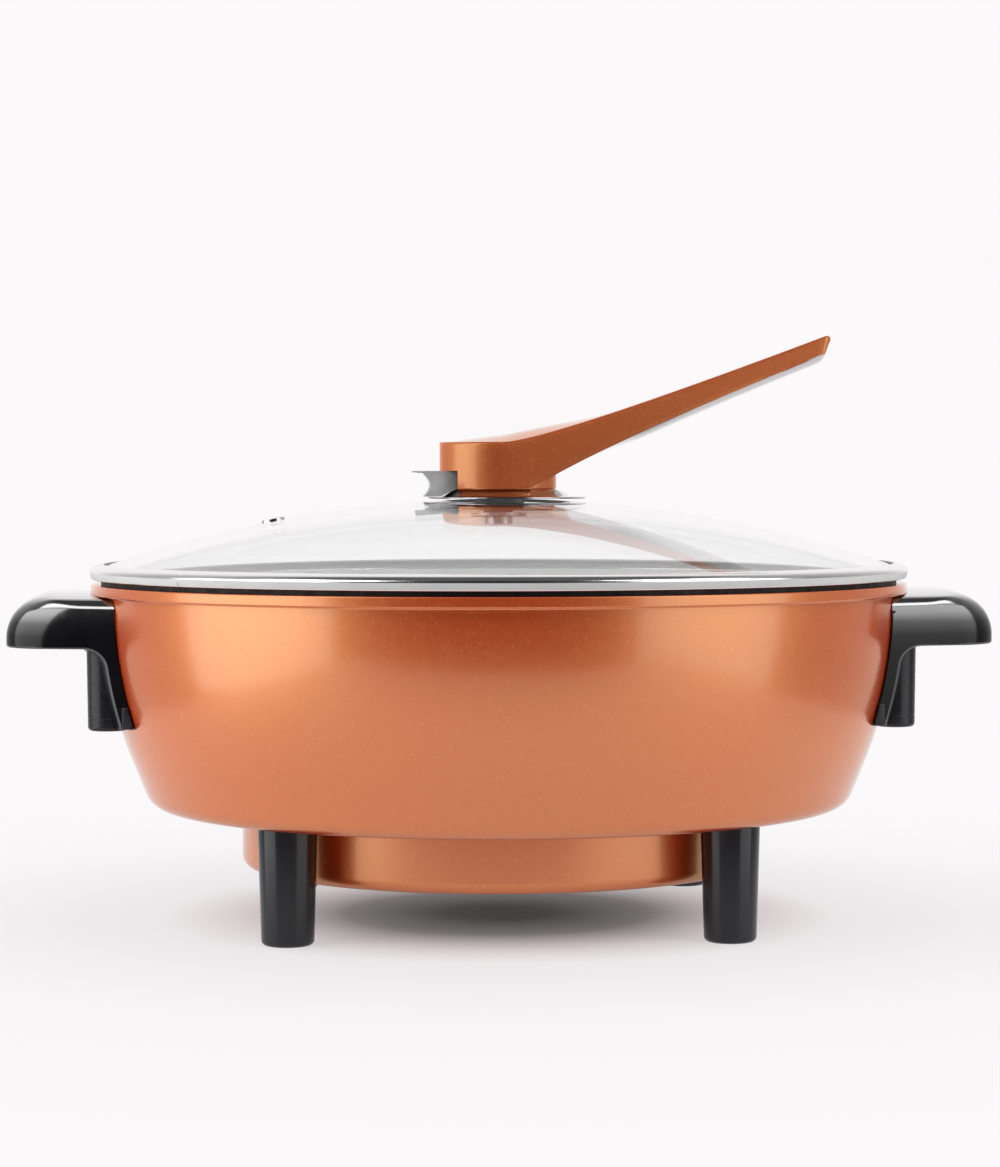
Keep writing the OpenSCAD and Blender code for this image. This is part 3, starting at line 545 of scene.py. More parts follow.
def metal(name, dark, light, rough, stretch, grain, metallic=1.0):
    mat, tree, bsdf = shader(name, Metallic=metallic)
    streak = noise(tree, 260.0, 4.0, 0.6, stretch)
    tones = ramp(tree, streak, [(0.3, dark), (0.7, light)])
    dress(tree, bsdf, tones, spread(tree, streak, rough * 0.75, rough * 1.3))
    bump(tree, bsdf, streak, grain, 0.0001)
    return mat


def gloss_material():
    """Black gloss that dulls towards a handle's foot."""
    mat = plastic("black_gloss", (0.006, 0.006, 0.008), (0.010, 0.010, 0.013), 0.13, 1600.0, 0.02, 2.2)
    fade(mat, "Specular IOR Level", [
        (0.078, 0.04), (0.106, 0.06), (0.112, 0.09), (0.117, 0.26), (0.1205, 0.72), (0.126, 0.98),
    ])
    fade(mat, "Coat Weight", [(0.116, 0.0), (0.1255, 1.0)])
    return mat


def leg_material():
    """Black plastic with upright streaks of light."""
    mat = plastic("black_leg", (0.005, 0.006, 0.012), (0.006, 0.007, 0.013), 0.24, 2400.0, 0.0, 1.55, 0.04)
    bsdf = mat.node_tree.nodes["Principled BSDF"]
    bsdf.inputs["Anisotropic"].default_value = 0.8
    bsdf.inputs["Anisotropic Rotation"].default_value = 0.25
    return mat


def nonstick_material():
    mat, tree, bsdf = shader("nonstick_coating", Coat_Weight=0.2, Coat_Roughness=0.3)
    speck = noise(tree, 700.0, 2.0, 0.4)
    tones = ramp(tree, speck, [
        (0.0, (0.02, 0.019, 0.019)), (0.62, (0.03, 0.028, 0.027)), (0.7, (0.16, 0.15, 0.14)),
    ])
    dress(tree, bsdf, tones, spread(tree, speck, 0.34, 0.44))
    bump(tree, bsdf, speck, 0.12, 0.0002)
    return mat


def glass_material():
    """Clear glass with a reflecting coat on its upper side only."""
    mat, tree, bsdf = shader(
        "clear_glass", Transmission_Weight=1.0, IOR=1.05, Coat_IOR=1.6, Coat_Roughness=0.01
    )
    haze = noise(tree, 35.0, 3.0)
    tones = ramp(tree, haze, [(0.3, (0.985, 0.996, 0.993)), (0.7, (0.990, 0.998, 0.996))])
    dress(tree, bsdf, tones, spread(tree, haze, 0.0, 0.012))
    geometry = tree.nodes.new("ShaderNodeNewGeometry")
    upward = calculate(tree, "GREATER_THAN", split_xyz(tree, geometry.outputs["True Normal"])["Z"], 0.1)
    outside = calculate(tree, "SUBTRACT", upward, geometry.outputs["Backfacing"], clamp=True)
    tree.links.new(outside, bsdf.inputs["Coat Weight"])
    return mat


copper_pan = copper(
    "copper_paint", (0.82, 0.062, 0.008), (0.85, 0.069, 0.010), (1.0, 0.30, 0.11), 0.36, 1.0
)
copper_lid = copper(
    "copper_handle", (0.66, 0.050, 0.009), (0.70, 0.058, 0.011), (0.95, 0.25, 0.10), 0.48, 0.5
)
# A glossier copper for the lever's upward faces, with a lighter colour painted on them as a painted
# highlight
glossy_copper_painted_highlight = copper(
    "glossy_copper_painted_highlight", (0.79, 0.064, 0.011), (0.83, 0.073, 0.013), (1.0, 0.28, 0.11), 0.26, 1.0, grain=0.0
)
# Pale pinkish copper painted on the lever's underside as a painted reflection of the white table
painted_reflection_under = copper(
    "painted_reflection_under", (0.70, 0.61, 0.63), (0.75, 0.66, 0.68), (0.86, 0.75, 0.76), 0.22, 1.0,
    tint=(1.0, 0.97, 0.98), grain=0.0,
)
black_gloss = gloss_material()
# Grey painted on the lit edges of the black handles as a painted highlight line
painted_edge_highlight = plastic("painted_edge_highlight", (0.09, 0.09, 0.10), (0.12, 0.12, 0.13), 0.3, 1600.0, 0.04)
black_satin = plastic("black_satin", (0.008, 0.008, 0.011), (0.013, 0.013, 0.017), 0.30, 1600.0, 0.04, 1.45)
black_leg = leg_material()
black_dull = plastic("black_moulded", (0.014, 0.014, 0.016), (0.022, 0.022, 0.025), 0.42, 900.0, 0.15)
chrome = metal("polished_steel", (0.74, 0.74, 0.75), (0.82, 0.82, 0.83), 0.07, (1.0, 1.0, 30.0), 0.02)
steel = metal("brushed_steel", (0.50, 0.50, 0.51), (0.66, 0.66, 0.67), 0.32, (1.0, 14.0, 14.0), 0.1)
clip_steel = metal("satin_steel", (0.76, 0.76, 0.77), (0.85, 0.85, 0.86), 0.45, (1.0, 14.0, 1.0), 0.04, 0.2)
ring_steel = metal("ring_steel", (0.84, 0.83, 0.83), (0.91, 0.90, 0.90), 0.18, (1.0, 1.0, 30.0), 0.02)
alu = metal("cast_aluminium", (0.55, 0.55, 0.56), (0.68, 0.68, 0.69), 0.38, (1.0, 1.0, 1.0), 0.15)
brass = metal("brass_contact", (0.62, 0.43, 0.16), (0.75, 0.55, 0.24), 0.26, (6.0, 1.0, 6.0), 0.06)
sheath = metal("heater_sheath", (0.16, 0.15, 0.14), (0.28, 0.26, 0.24), 0.45, (1.0, 1.0, 1.0), 0.15)
ceramic = plastic("ceramic", (0.68, 0.65, 0.58), (0.80, 0.77, 0.70), 0.5, 1200.0, 0.1)
silicone = plastic("silicone", (0.055, 0.057, 0.057), (0.075, 0.078, 0.078), 0.6, 1300.0, 0.12)
# Near-black silicone painted on the seal's outer edge as painted shade
silicone_painted_shade = plastic("silicone_painted_shade", (0.006, 0.006, 0.007), (0.010, 0.010, 0.011), 0.6, 1300.0, 0.12)
# Near-white silicone: the bush's own colour, and painted light on the inner faces of the lid ring and seal
pale_silicone_and_painted_light = plastic("pale_silicone_and_painted_light", (0.88, 0.89, 0.89), (0.93, 0.94, 0.94), 0.55, 1300.0, 0.12)
nonstick = nonstick_material()
glass = glass_material()


# Pan, copper outside and non-stick inside
def wall_line(curve_r, floor_z, round_r):
    """One side of the wall, from its top down to the rounded corner at the floor."""
    s = math.radians(SLOPE)
    end = (CENTRE_R + curve_r * math.cos(s), WALL_TOP_Z - curve_r * math.sin(s))
    top_z = floor_z + round_r * (1 - math.sin(s))
    top_r = end[0] - (end[1] - top_z) * math.tan(s)
    centre = (top_r - round_r * math.cos(s), floor_z + round_r)
    return arc(CENTRE_R, WALL_TOP_Z, curve_r, 0, -SLOPE, 48) + arc(*centre, round_r, -SLOPE, -90, 16)


def wall_r(z):
    """The pan's outer radius at a height, with the underside of its lip."""
    d = z - WALL_TOP_Z
    if d <= 0:
        return CENTRE_R + math.sqrt(CURVE_R ** 2 - d * d)
    if d < LIP_HOLLOW:
        return WALL_TOP_R + LIP_HOLLOW - math.sqrt(LIP_HOLLOW ** 2 - d * d)
    e = d - LIP_HOLLOW - LIP_ROUND
    return LIP_R - LIP_ROUND + math.sqrt(max(0.0, LIP_ROUND ** 2 - e * e))


lip_line = (
    arc(LIP_R - LIP_EDGE, RIM_Z - LIP_EDGE, LIP_EDGE, 90, 0, 8)
    + arc(LIP_R - LIP_ROUND, WALL_TOP_Z + LIP_HOLLOW + LIP_ROUND, LIP_ROUND, 0, -90, 10)
    + arc(WALL_TOP_R + LIP_HOLLOW, WALL_TOP_Z, LIP_HOLLOW, 90, 165, 8)
)
pan = lathe(
    "pan_body",
    lip_line
    + wall_line(CURVE_R, LEG_H, CORNER_R)
    + [(0.0, LEG_H), (0.0, LEG_H + FLOOR)]
    + wall_line(CURVE_R - WALL, LEG_H + FLOOR, INSIDE_R)[::-1]
    + arc(INSIDE_TOP + INNER_EDGE, RIM_Z - INNER_EDGE, INNER_EDGE, 180, 90, 5),
    256,
)
paint(pan, copper_pan, nonstick)
for face in pan.data.polygons:
    r = math.hypot(face.center.x, face.center.y) / MM
    above_floor = face.center.z / MM > LEG_H + FLOOR - 0.1
    if above_floor and outward_share(face) < 0.2 and r < INSIDE_TOP + 0.3:
        face.material_index = 1
place(pan, "cooker", "copper_pan", "pan")

# Base cup with its window for the socket
base_c = (BASE_R - BASE_ROUND, BASE_Z + BASE_ROUND)
step_r = COVER_R + SHEET
seat_z = BASE_Z + SHEET
base = lathe(
    "base_cup",
    [(BASE_R, LEG_H)]
    + arc(*base_c, BASE_ROUND, 0, -90, 24)
    + [(COVER_R, BASE_Z), (COVER_R, seat_z), (COVER_SEAT_R, seat_z), (COVER_SEAT_R, seat_z + SHEET)]
    + [(step_r, seat_z + SHEET), (step_r, seat_z)]
    + arc(*base_c, BASE_ROUND - SHEET, -90, 0, 24)
    + [(BASE_R - SHEET, LEG_H)],
    224,
)
cut(base, block("cutter", WINDOW_LOW, WINDOW_HIGH))
paint(base, copper_pan)
place(base, "cooker", "copper_base", "base_housing")

# Legs, with a bore for the screw and a seat for the pan's boss
leg_top = LEG_H - GAP
leg_profile = (
    [(LEG_HEAD_R, 0.0)]
    + arc(LEG_FOOT_R - LEG_FOOT_EDGE, LEG_FOOT_EDGE, LEG_FOOT_EDGE, -90, 0, 8)
    + arc(LEG_TOP_R - LEG_TOP_EDGE, leg_top - LEG_TOP_EDGE, LEG_TOP_EDGE, 0, 90, 5)
    + [(LEG_BOSS_R, leg_top), (LEG_BOSS_R, LEG_BOSS_Z), (LEG_BORE_R, LEG_BOSS_Z)]
    + [(LEG_BORE_R, LEG_HEAD_Z), (LEG_HEAD_R, LEG_HEAD_Z)]
)
for name, angle in LEG_PLACES:
    a = math.radians(angle)
    leg = lathe(name + "_moulded", leg_profile, 96, (LEG_RING * math.cos(a), LEG_RING * math.sin(a)))
    paint(leg, black_leg)
    place(leg, "cooker", "black_plastic", name)


# Side handles
def fall(distance, radius):
    """How far a rounded edge has dropped at a distance past its start."""
    return radius - math.sqrt(max(0.0, radius ** 2 - max(0.0, distance) ** 2))


def along(r, y):
    """The distance out, straight from the middle, of a point at radius r and depth y."""
    return math.sqrt(r * r - y * y)


def moved_in(points, shrink):
    """A closed outline moved inward by a small distance."""
    moved = []
    n = len(points)
    for i in range(n):
        ax, az = points[i - 1]
        bx, bz = points[(i + 1) % n]
        tx, tz = bx - ax, bz - az
        length = math.hypot(tx, tz) or 1.0
        moved.append((points[i][0] + shrink * tz / length, points[i][1] - shrink * tx / length))
    return moved


def handle_section(y, shrink):
    """A handle's outline at one depth, as points of (distance out, height)."""
    depth = abs(y)
    top = GRIP_TOP - GRIP_CROWN * min(1.0, depth / (HALF - GRIP_EDGE)) ** 2
    top -= fall(depth - HALF + GRIP_EDGE, GRIP_EDGE)
    x_end = REACH - fall(depth - HALF + CORNER, CORNER)
    pts = [(along(wall_r(z) + GAP, y), z) for z in span(FOOT_Z, top, 20)]
    x_wall = pts[-1][0]
    x_bend = max(x_end - GRIP_END, x_wall + 1.0)
    pts += [(x, top) for x in span(x_wall, x_bend, 7)[1:]]
    drop = min(GRIP_END, top - GRIP_LOW - GRIP_LOW_EDGE)
    pts += [
        (x_bend + (x_end - x_bend) * math.sin(a), top - drop * (1 - math.cos(a)))
        for a in span(0.0, math.pi / 2, 17)[1:]
    ]
    x_low = x_end - GRIP_LOW_EDGE
    pts += arc(x_low, GRIP_LOW + GRIP_LOW_EDGE, GRIP_LOW_EDGE, 0, -90, 5)
    hollow = arc(HOLLOW_X, HOLLOW_Z, HOLLOW, 90, HOLLOW_A + 180, 12)
    plate = arc(CENTRE_R, WALL_TOP_Z, PLATE_R, HOLLOW_A, PLATE_FOOT_A, 12)[1:]
    pts += [(x, GRIP_LOW) for x in span(x_low, along(hollow[0][0], y), 5)[1:-1]]
    pts += [(along(r, y), z) for r, z in hollow + plate]
    return moved_in(pts, shrink) if shrink > 0 else pts


def tapered(x, y, z):
    """The depth of a point of a handle, whose end faces lean together away from the pan."""
    inner = along(wall_r(z) + GAP, y)
    return y * (1 - TAPER * max(0.0, x - inner) / HALF)


def handle_stations():
    """Depths of a handle's sections, each with the distance that its outline is moved in."""
    half = [(y, 0.0) for y in span(0.0, HALF - CORNER, 8)]
    half += [(HALF - CORNER + CORNER * math.sin(math.radians(a)), 0.0) for a in span(8.0, 38.0, 7)]
    half += [(HALF - GRIP_EDGE + GRIP_EDGE * math.sin(math.radians(a)), 0.0) for a in span(0.0, 58.0, 9)]
    for a in span(10.0, 90.0, 9):
        t = math.radians(a)
        half.append((HALF - FACE_EDGE + FACE_EDGE * math.sin(t), FACE_EDGE * (1 - math.cos(t))))
    half = sorted(set(half))
    return [(-y, d) for y, d in reversed(half) if y > 0] + half


def grip(name, sign):
    stations = handle_stations()
    rings = [[(sign * x, tapered(x, y, z), z) for x, z in handle_section(y, d)] for y, d in stations]
    obj = loft(name + "_grip", rings, 40.0)
    paint(obj, black_gloss, black_satin, painted_edge_highlight)
    for face in obj.data.polygons:
        z, turn = face.center.z / MM, abs(face.normal.y)
        lit = face.normal.z < -0.2 or face.normal.x * sign > 0.15
        # Lit faces along the grip's lower edge get the grey painted highlight; the plate below the grip is
        # satin black
        if 0.35 < turn < 0.94 and z < GRIP_LOW + 0.7 and lit:
            face.material_index = 2
        elif z < GRIP_LOW - 0.3 and turn < 0.8:
            face.material_index = 1
    place(obj, "cooker", "black_plastic", name)


def clear_of_wall(p):
    """Moves a point out where it would come too close to the pan."""
    r = math.hypot(p[0], p[1])
    least = wall_r(p[2]) + GAP
    return p if r >= least else (p[0] * least / r, p[1] * least / r, p[2])


def tower(name, end_name, sign, end):
    """A screw post behind the grip, with a bore for the screw's head."""
    profile = [(TOWER_BORE_R, TOWER_Z)]
    profile += arc(TOWER_FOOT_R - TOWER_FOOT_EDGE, TOWER_Z + TOWER_FOOT_EDGE, TOWER_FOOT_EDGE, -90, 0, 8)
    profile += [(TOWER_R, GROOVE_Z - GROOVE_HALF), (TOWER_R - GROOVE_DEPTH, GROOVE_Z)]
    profile += [(TOWER_R, GROOVE_Z + GROOVE_HALF)]
    heights = span(TOWER_GROWTH_Z, TOWER_TOP, TOWER_STEPS)
    radii = span(TOWER_R, TOWER_R + TOWER_GROWTH, TOWER_STEPS)
    profile += list(zip(radii, heights))
    profile += [(0.0, TOWER_TOP), (0.0, TOWER_BORE_TOP), (TOWER_BORE_R, TOWER_BORE_TOP)]
    at = (sign * TOWER_X, end * TOWER_Y)
    obj = lathe(name + "_tower_" + end_name, profile, 64, at, 25.0, clear_of_wall)
    paint(obj, black_satin)
    place(obj, "cooker", "black_plastic", name)


def foot_pad(name, sign, end):
    """A small raised pad at the foot of a handle's plate."""
    zs = span(PAD_LOW, PAD_TOP, 4)
    ring = [(sign * max(PAD_INNER_X, along(wall_r(z) + GAP + PAD_CLEAR, HALF)), z) for z in zs]
    ring += [(sign * PAD_OUTER_X, z) for z in reversed(zs)]
    ys = (HALF - PAD_SUNK, HALF + PAD_PROUD)
    pad = loft(name, [[(x, end * tapered(abs(x), y, z), z) for x, z in ring] for y in ys], 30.0)
    round_edges(pad, 0.3, 3, 40.0, 30.0)
    paint(pad, black_satin, painted_edge_highlight)
    # The pad's upward faces get the grey painted highlight
    for face in pad.data.polygons:
        if face.normal.z > 0.3:
            face.material_index = 1
    place(pad, "cooker", "black_plastic")


for name, sign in SIDES:
    for end_name, end in ENDS:
        foot_pad(name + "_pad_" + end_name, sign, end)
for name, sign in SIDES:
    grip(name, sign)
    for end_name, end in ENDS:
        tower(name, end_name, sign, end)


# Lid glass
def glass_z(r, sphere):
    return GLASS_C + math.sqrt(sphere ** 2 - r * r)


inner_sphere = GLASS_R - GLASS_T
edge_z = LID_Z + LID_SHEET
edge_r = math.sqrt(inner_sphere ** 2 - (edge_z - GLASS_C) ** 2)
bevel_r = GLASS_EDGE_R - GLASS_BEVEL
dome = lathe(
    "lid_dome",
    [(r, glass_z(r, GLASS_R)) for r in span(GLASS_HOLE_R, bevel_r, 72)]
    + [(GLASS_EDGE_R, glass_z(bevel_r, GLASS_R) - GLASS_BEVEL_H), (GLASS_EDGE_R, edge_z)]
    + [(r, glass_z(r, inner_sphere)) for r in span(edge_r, GLASS_HOLE_R, 72)],
    256,
    angle=50.0,
)
paint(dome, glass)
place(dome, "lid", "clear_glass", "lid_glass")


# Lid ring, steel outside, with a near-white colour painted on its inner faces as painted light where it
# faces the glass
def rim_line(inset, steps):
    """The ring's section: a flat foot, a slightly leaning side and a quarter ellipse as its crown."""
    foot_edge = RING_FOOT_EDGE - min(inset, 0.9 * RING_FOOT_EDGE)
    low = [(LID_R - RING_UNDER, LID_Z + inset)]
    low += arc(LID_R - RING_FOOT, LID_Z + RING_FOOT_EDGE, foot_edge, -90, -15, 6)
    half_h = LID_H / 2
    high = [
        (LID_R - LID_LIP + (LID_LIP - inset) * math.cos(t), LID_Z + half_h + (half_h - inset) * math.sin(t))
        for t in span(0.0, math.pi / 2, steps)
    ]
    return low + high


rim_profile = rim_line(0.0, 18) + rim_line(LID_SHEET, 14)[::-1]
rim_profile += [(RING_INNER_R, edge_z), (RING_INNER_R, LID_Z)]
ring = lathe("lid_ring", rim_profile, 288)
paint(ring, ring_steel, pale_silicone_and_painted_light)
# Inner faces of the ring get the near-white colour as painted light
for face in ring.data.polygons:
    inner_side = outward_share(face) < -0.05 or face.normal.z < -0.1
    if edge_z < face.center.z / MM < LID_TOP - 0.3 and inner_side:
        face.material_index = 1
place(ring, "lid", "polished_steel", "lid_rim")

# Weld seam across the ring
seam_line = [(r + SEAM_PROUD, z) for r, z in rim_line(0.0, 10)[1:-1]] + rim_line(SEAM_SUNK, 10)[-2:0:-1]
seam_rings = []
for turn in (-SEAM_HALF_TURN, SEAM_HALF_TURN):
    a = math.radians(SEAM_ANGLE + turn)
    seam_rings.append([(r * math.cos(a), r * math.sin(a), z) for r, z in seam_line])
seam = loft("lid_ring_seam", seam_rings, 30.0)
paint(seam, ring_steel)
place(seam, "lid", "polished_steel")

# Seal, a flat ring with a ribbed skirt that hangs into the pan; its outer edge is painted near-black as
# painted shade of the gap above the lip
seal_low = RIM_Z + HAIR
seal = lathe(
    "lid_gasket",
    [(RING_INNER_R, LID_Z), (SEAL_R, LID_Z), (SEAL_R, seal_low), (RING_INNER_R + SKIRT, seal_low)]
    + arc(*UPPER_RIB, RIB_R, 30, -30, 4)
    + arc(*LOWER_RIB, RIB_R, 30, -90, 6)
    + arc(*SKIRT_END, SKIRT_EDGE, -90, -180, 4)
    + [(RING_INNER_R, SKIRT_BEND)],
    224,
)
paint(seal, silicone, silicone_painted_shade, pale_silicone_and_painted_light)
for face in seal.data.polygons:
    r = math.hypot(face.center.x, face.center.y) / MM
    # Outer faces of the seal are painted near-black as painted shade
    if r > SEAL_SHADE_R:
        face.material_index = 1
    # The seal's inner top face gets the near-white colour as painted light
    elif r < RING_INNER_R + 0.1 and face.center.z / MM > SKIRT_BEND + 0.1:
        face.material_index = 2
place(seal, "lid", "grey_silicone", "lid_seal")

# Steam vent, an eyelet that stands square on the glass
under_z = -GLASS_T - GLASS_GAP
head_top = GLASS_GAP + 2 * VENT_HEAD_EDGE
eyelet = lathe(
    "steam_eyelet",
    [(VENT_BORE_R, under_z - VENT_UNDER_T), (VENT_UNDER_R, under_z - VENT_UNDER_T), (VENT_UNDER_R, under_z)]
    + [(VENT_NECK_R, under_z), (VENT_NECK_R, GLASS_GAP), (VENT_HEAD_R, GLASS_GAP)]
    + arc(VENT_HEAD_R - VENT_HEAD_EDGE, head_top - VENT_HEAD_EDGE, VENT_HEAD_EDGE, 0, 90, 5)
    + arc(VENT_BORE_R + VENT_BORE_EDGE, head_top - VENT_BORE_EDGE, VENT_BORE_EDGE, 90, 180, 5),
    64,
)
eyelet.data.transform(
    Matrix.Translation((0.0, 0.0, GLASS_C * MM))
    @ Matrix.Rotation(-math.asin(VENT_X / GLASS_R), 4, "Y")
    @ Matrix.Translation((0.0, 0.0, GLASS_R * MM))
)
paint(eyelet, chrome)
place(eyelet, "lid", "polished_steel", "steam_vent")


# Domed washer under the knob
def washer_z(r):
    return WASHER_Z + (KNOB_Z - WASHER_T - WASHER_Z) * step(WASHER_RISE_R - r, 0.0, WASHER_RISE)


radii = span(WASHER_R, WASHER_FLAT_R, 40) + [WASHER_HOLE_R]
washer = lathe(
    "domed_washer",
    [(r, washer_z(r)) for r in radii]
    + [(r, washer_z(r) + WASHER_T) for r in reversed(radii)]
    + arc(WASHER_EDGE_R, WASHER_Z + WASHER_T / 2, WASHER_T / 2, 90, -90, 6),
    160,
    (WASHER_X, 0.0),
)
paint(washer, chrome)
place(washer, "lid", "polished_steel", "lid_washer")

# Bush in the centre hole of the glass
bush_seat = GLASS_TOP + GLASS_GAP
bush_top = KNOB_Z - WASHER_T - HAIR
gasket = lathe(
    "grommet",
    [(SCREW_BORE_R, GROMMET_Z), (GROMMET_R - GROMMET_UNDER_EDGE, GROMMET_Z)]
    + [(GROMMET_R, GROMMET_Z + GROMMET_EDGE_H)]
    + [(GROMMET_R, GROMMET_FLANGE_Z), (GROMMET_NECK_R, GROMMET_FLANGE_Z), (GROMMET_NECK_R, bush_seat)]
    + [(GROMMET_R - GROMMET_UPPER_EDGE, bush_seat), (GROMMET_R, bush_seat + GROMMET_EDGE_H)]
    + [(GROMMET_R, bush_top), (SCREW_BORE_R, bush_top)],
    64,
)
paint(gasket, pale_silicone_and_painted_light)
place(gasket, "lid", "grey_silicone", "glass_gasket")


# Lid handle: a knob that runs out into a slanted lever
def half_width(x):
    if x < 0:
        return math.sqrt(max(0.0, KNOB_R ** 2 - x * x))
    return KNOB_R - (KNOB_R - LEVER_TIP_HALF) * x / LEVER_L


def lever_ring(top, low, shrink=0.0):
    """A ring round the lever between a point of its upper and one of its lower edge."""
    top_x, top_z = top[0], top[1] - shrink
    low_x, low_z = low[0], low[1] + shrink
    top_half, low_half = half_width(top_x) - shrink, half_width(low_x) - shrink
    edge = min(LEVER_EDGE, top_half * 0.5)
    low_edge_w, low_edge_h = LEVER_LOW_EDGE
    crown = LEVER_CROWN * step(top_x, CROWN_FROM, CROWN_TOP) * (1 - step(top_x, CROWN_TOP, CROWN_TO))
    belly = LEVER_BELLY * step(low_x, BELLY_FROM, BELLY_FULL)

    def lean(z):
        return top_x + (low_x - top_x) * min(1.0, max(0.0, (top_z - z) / (top_z - low_z)))

    upper = [
        (top_x, v * (top_half - edge), top_z + crown * (1 - abs(v) ** 1.5)) for v in span(-1.0, 1.0, 21)
    ]
    side = []
    for a in (25.0, 50.0, 75.0):
        t = math.radians(a)
        z = top_z - edge * (1 - math.cos(t))
        side.append((lean(z), top_half - edge + edge * math.sin(t), z))
    for f in span(0.0, 1.0, 6):
        z = top_z - edge + (low_z + low_edge_h - top_z + edge) * f
        side.append((lean(z), top_half + (low_half - top_half) * f, z))
    lower = [(low_x, v * (low_half - low_edge_w), low_z - belly * (1 - v * v)) for v in span(1.0, -1.0, 21)]
    return upper + side + lower + [(x, -y, z) for x, y, z in reversed(side)]


def lever_rings():
    """Rings round the knob's half circle, along the lever and over its rounded tip."""
    rings = []
    for a in span(3.0, 90.0, 30):
        x = -KNOB_R * math.cos(math.radians(a))
        rings.append(lever_ring((x, SIDE_EDGE), (x, KNOB_Z)))
    rise = math.atan2(TIP[1] - RISE_BEND[1], TIP[0] - RISE_BEND[0])

    def onward(point, distance):
        return (point[0] + distance * math.cos(rise), point[1] + distance * math.sin(rise))

    tip_in, low_in = onward(TIP, -TIP_ROUND), onward(LOW_TIP, -TIP_ROUND)
    for t in span(0.0, 1.0, 64):
        top = bezier(RISE_START, RISE_BEND, tip_in, t)
        low = bezier(LOW_START, LOW_BEND, low_in, t)
        rings.append(lever_ring(top, low))
    for a in span(0.0, math.radians(84.0), 8)[1:]:
        out = TIP_ROUND * math.sin(a)
        rings.append(lever_ring(onward(tip_in, out), onward(low_in, out), TIP_ROUND * (1 - math.cos(a))))
    return rings


def notch_cutter():
    x, y, z = NOTCH_REACH
    return block("cutter", (x, -y, z), (NOTCH_X, y, NOTCH_Z))


bore_profile = [(0.0, BORE_LOW), (SCREW_BORE_R, BORE_LOW), (SCREW_BORE_R, BORE_TOP), (0.0, BORE_TOP)]
lever = loft("lid_lever", lever_rings(), LEVER_CREASE)
cut(lever, notch_cutter(), LEVER_CREASE)
cut(lever, lathe("cutter", bore_profile, 48), LEVER_CREASE)
paint(lever, copper_lid, glossy_copper_painted_highlight, painted_reflection_under)
for face in lever.data.polygons:
    # Upward faces get the glossier copper whose lighter colour is a painted highlight
    if face.normal.z > 0.75:
        face.material_index = 1
    # Downward faces of the lever's outer part get the pale colour as a painted reflection
    elif face.normal.z < -0.6 and face.center.x > PAINTED_REFLECTION_FROM * MM:
        face.material_index = 2
place(lever, "lid", "copper_plastic", "lid_handle")

# Foot of the knob
knob_low = KNOB_Z + HAIR
flat_r = KNOB_BASE_R - KNOB_BASE_EDGE
knob = lathe(
    "lid_knob_base",
    [(SCREW_BORE_R, knob_low), (flat_r, knob_low), (KNOB_BASE_R, KNOB_Z + KNOB_BASE_EDGE)]
    + [(KNOB_BASE_R, KNOB_BASE_TOP - KNOB_BASE_EDGE), (flat_r, KNOB_BASE_TOP)]
    + [(SCREW_BORE_R, KNOB_BASE_TOP)],
    160,
)
cut(knob, notch_cutter())
paint(knob, copper_lid)
place(knob, "lid", "copper_plastic", "lid_handle")

# Clip in the knob's notch
outline = [(CLIP_TIP_X, NOTCH_Z), (CLIP_TIP_X, NOTCH_Z - CLIP_TIP_T), (CLIP_BODY_X, CLIP_LIP_Z)]
for t in span(0.0, 1.0, 9)[1:-1]:
    x = CLIP_BODY_X + (CLIP_WAIST_X - CLIP_BODY_X) * math.sin(math.pi * t)
    outline.append((x, CLIP_LIP_Z + (CLIP_FOOT_Z - CLIP_LIP_Z) * t))
outline += [(CLIP_BODY_X, CLIP_FOOT_Z), (CLIP_FOOT_X, CLIP_FOOT_Z)]
outline += [(NOTCH_X, KNOB_Z + GAP), (NOTCH_X, NOTCH_Z)]
clip = loft("clip_plate", [[(x, y, z) for x, z in outline] for y in (-CLIP_HALF, CLIP_HALF)], 30.0)
round_edges(clip, 0.15, 2, 30.0, 30.0)
paint(clip, clip_steel)
place(clip, "lid", "polished_steel", "ladle_clip")

# Pieces that keep their solids
STEEL_PIECES = (
    "probe_tube", "earth_screw", "spacer_sleeves", "bottom_cover", "cover_screws", "inlet_screws",
    "leg_screws", "handle_screws", "under_washer", "lid_screw",
)
for mat, names in (
    (alu, ("heater_plate", "heat_reflector")),
    (sheath, ("heating_element",)),
    (ceramic, ("terminal_beads",)),
    (brass, ("line_pin", "neutral_pin", "earth_contact")),
    (black_dull, ("inlet_housing",)),
    (steel, STEEL_PIECES),
):
    for name in names:
        obj = nodes[name]
        if not obj.material_slots:
            obj.data.materials.append(mat)
        for s in obj.material_slots:
            s.material = mat

# Floor that is matte near the part and turns into the white backdrop further out
WHITE = (0.965, 0.945, 0.957)
MATTE = (0.63, 0.62, 0.626)
MIRRORED_GLOW = 0.86
GLOW_STOPS = ((0.0, 0.0), (0.10, 0.08), (0.20, 0.52), (0.28, 0.79), (0.6, 0.95), (1.0, 1.0))
GLOW_FROM = 0.02
GLOW_FULL = 0.42
TABLE_X = 380.0
TABLE_FRONT = -470.0
TABLE_BACK = 700.0


def seen_directly(tree, path):
    return calculate(tree, "MAXIMUM", path.outputs["Is Camera Ray"], path.outputs["Is Transmission Ray"])


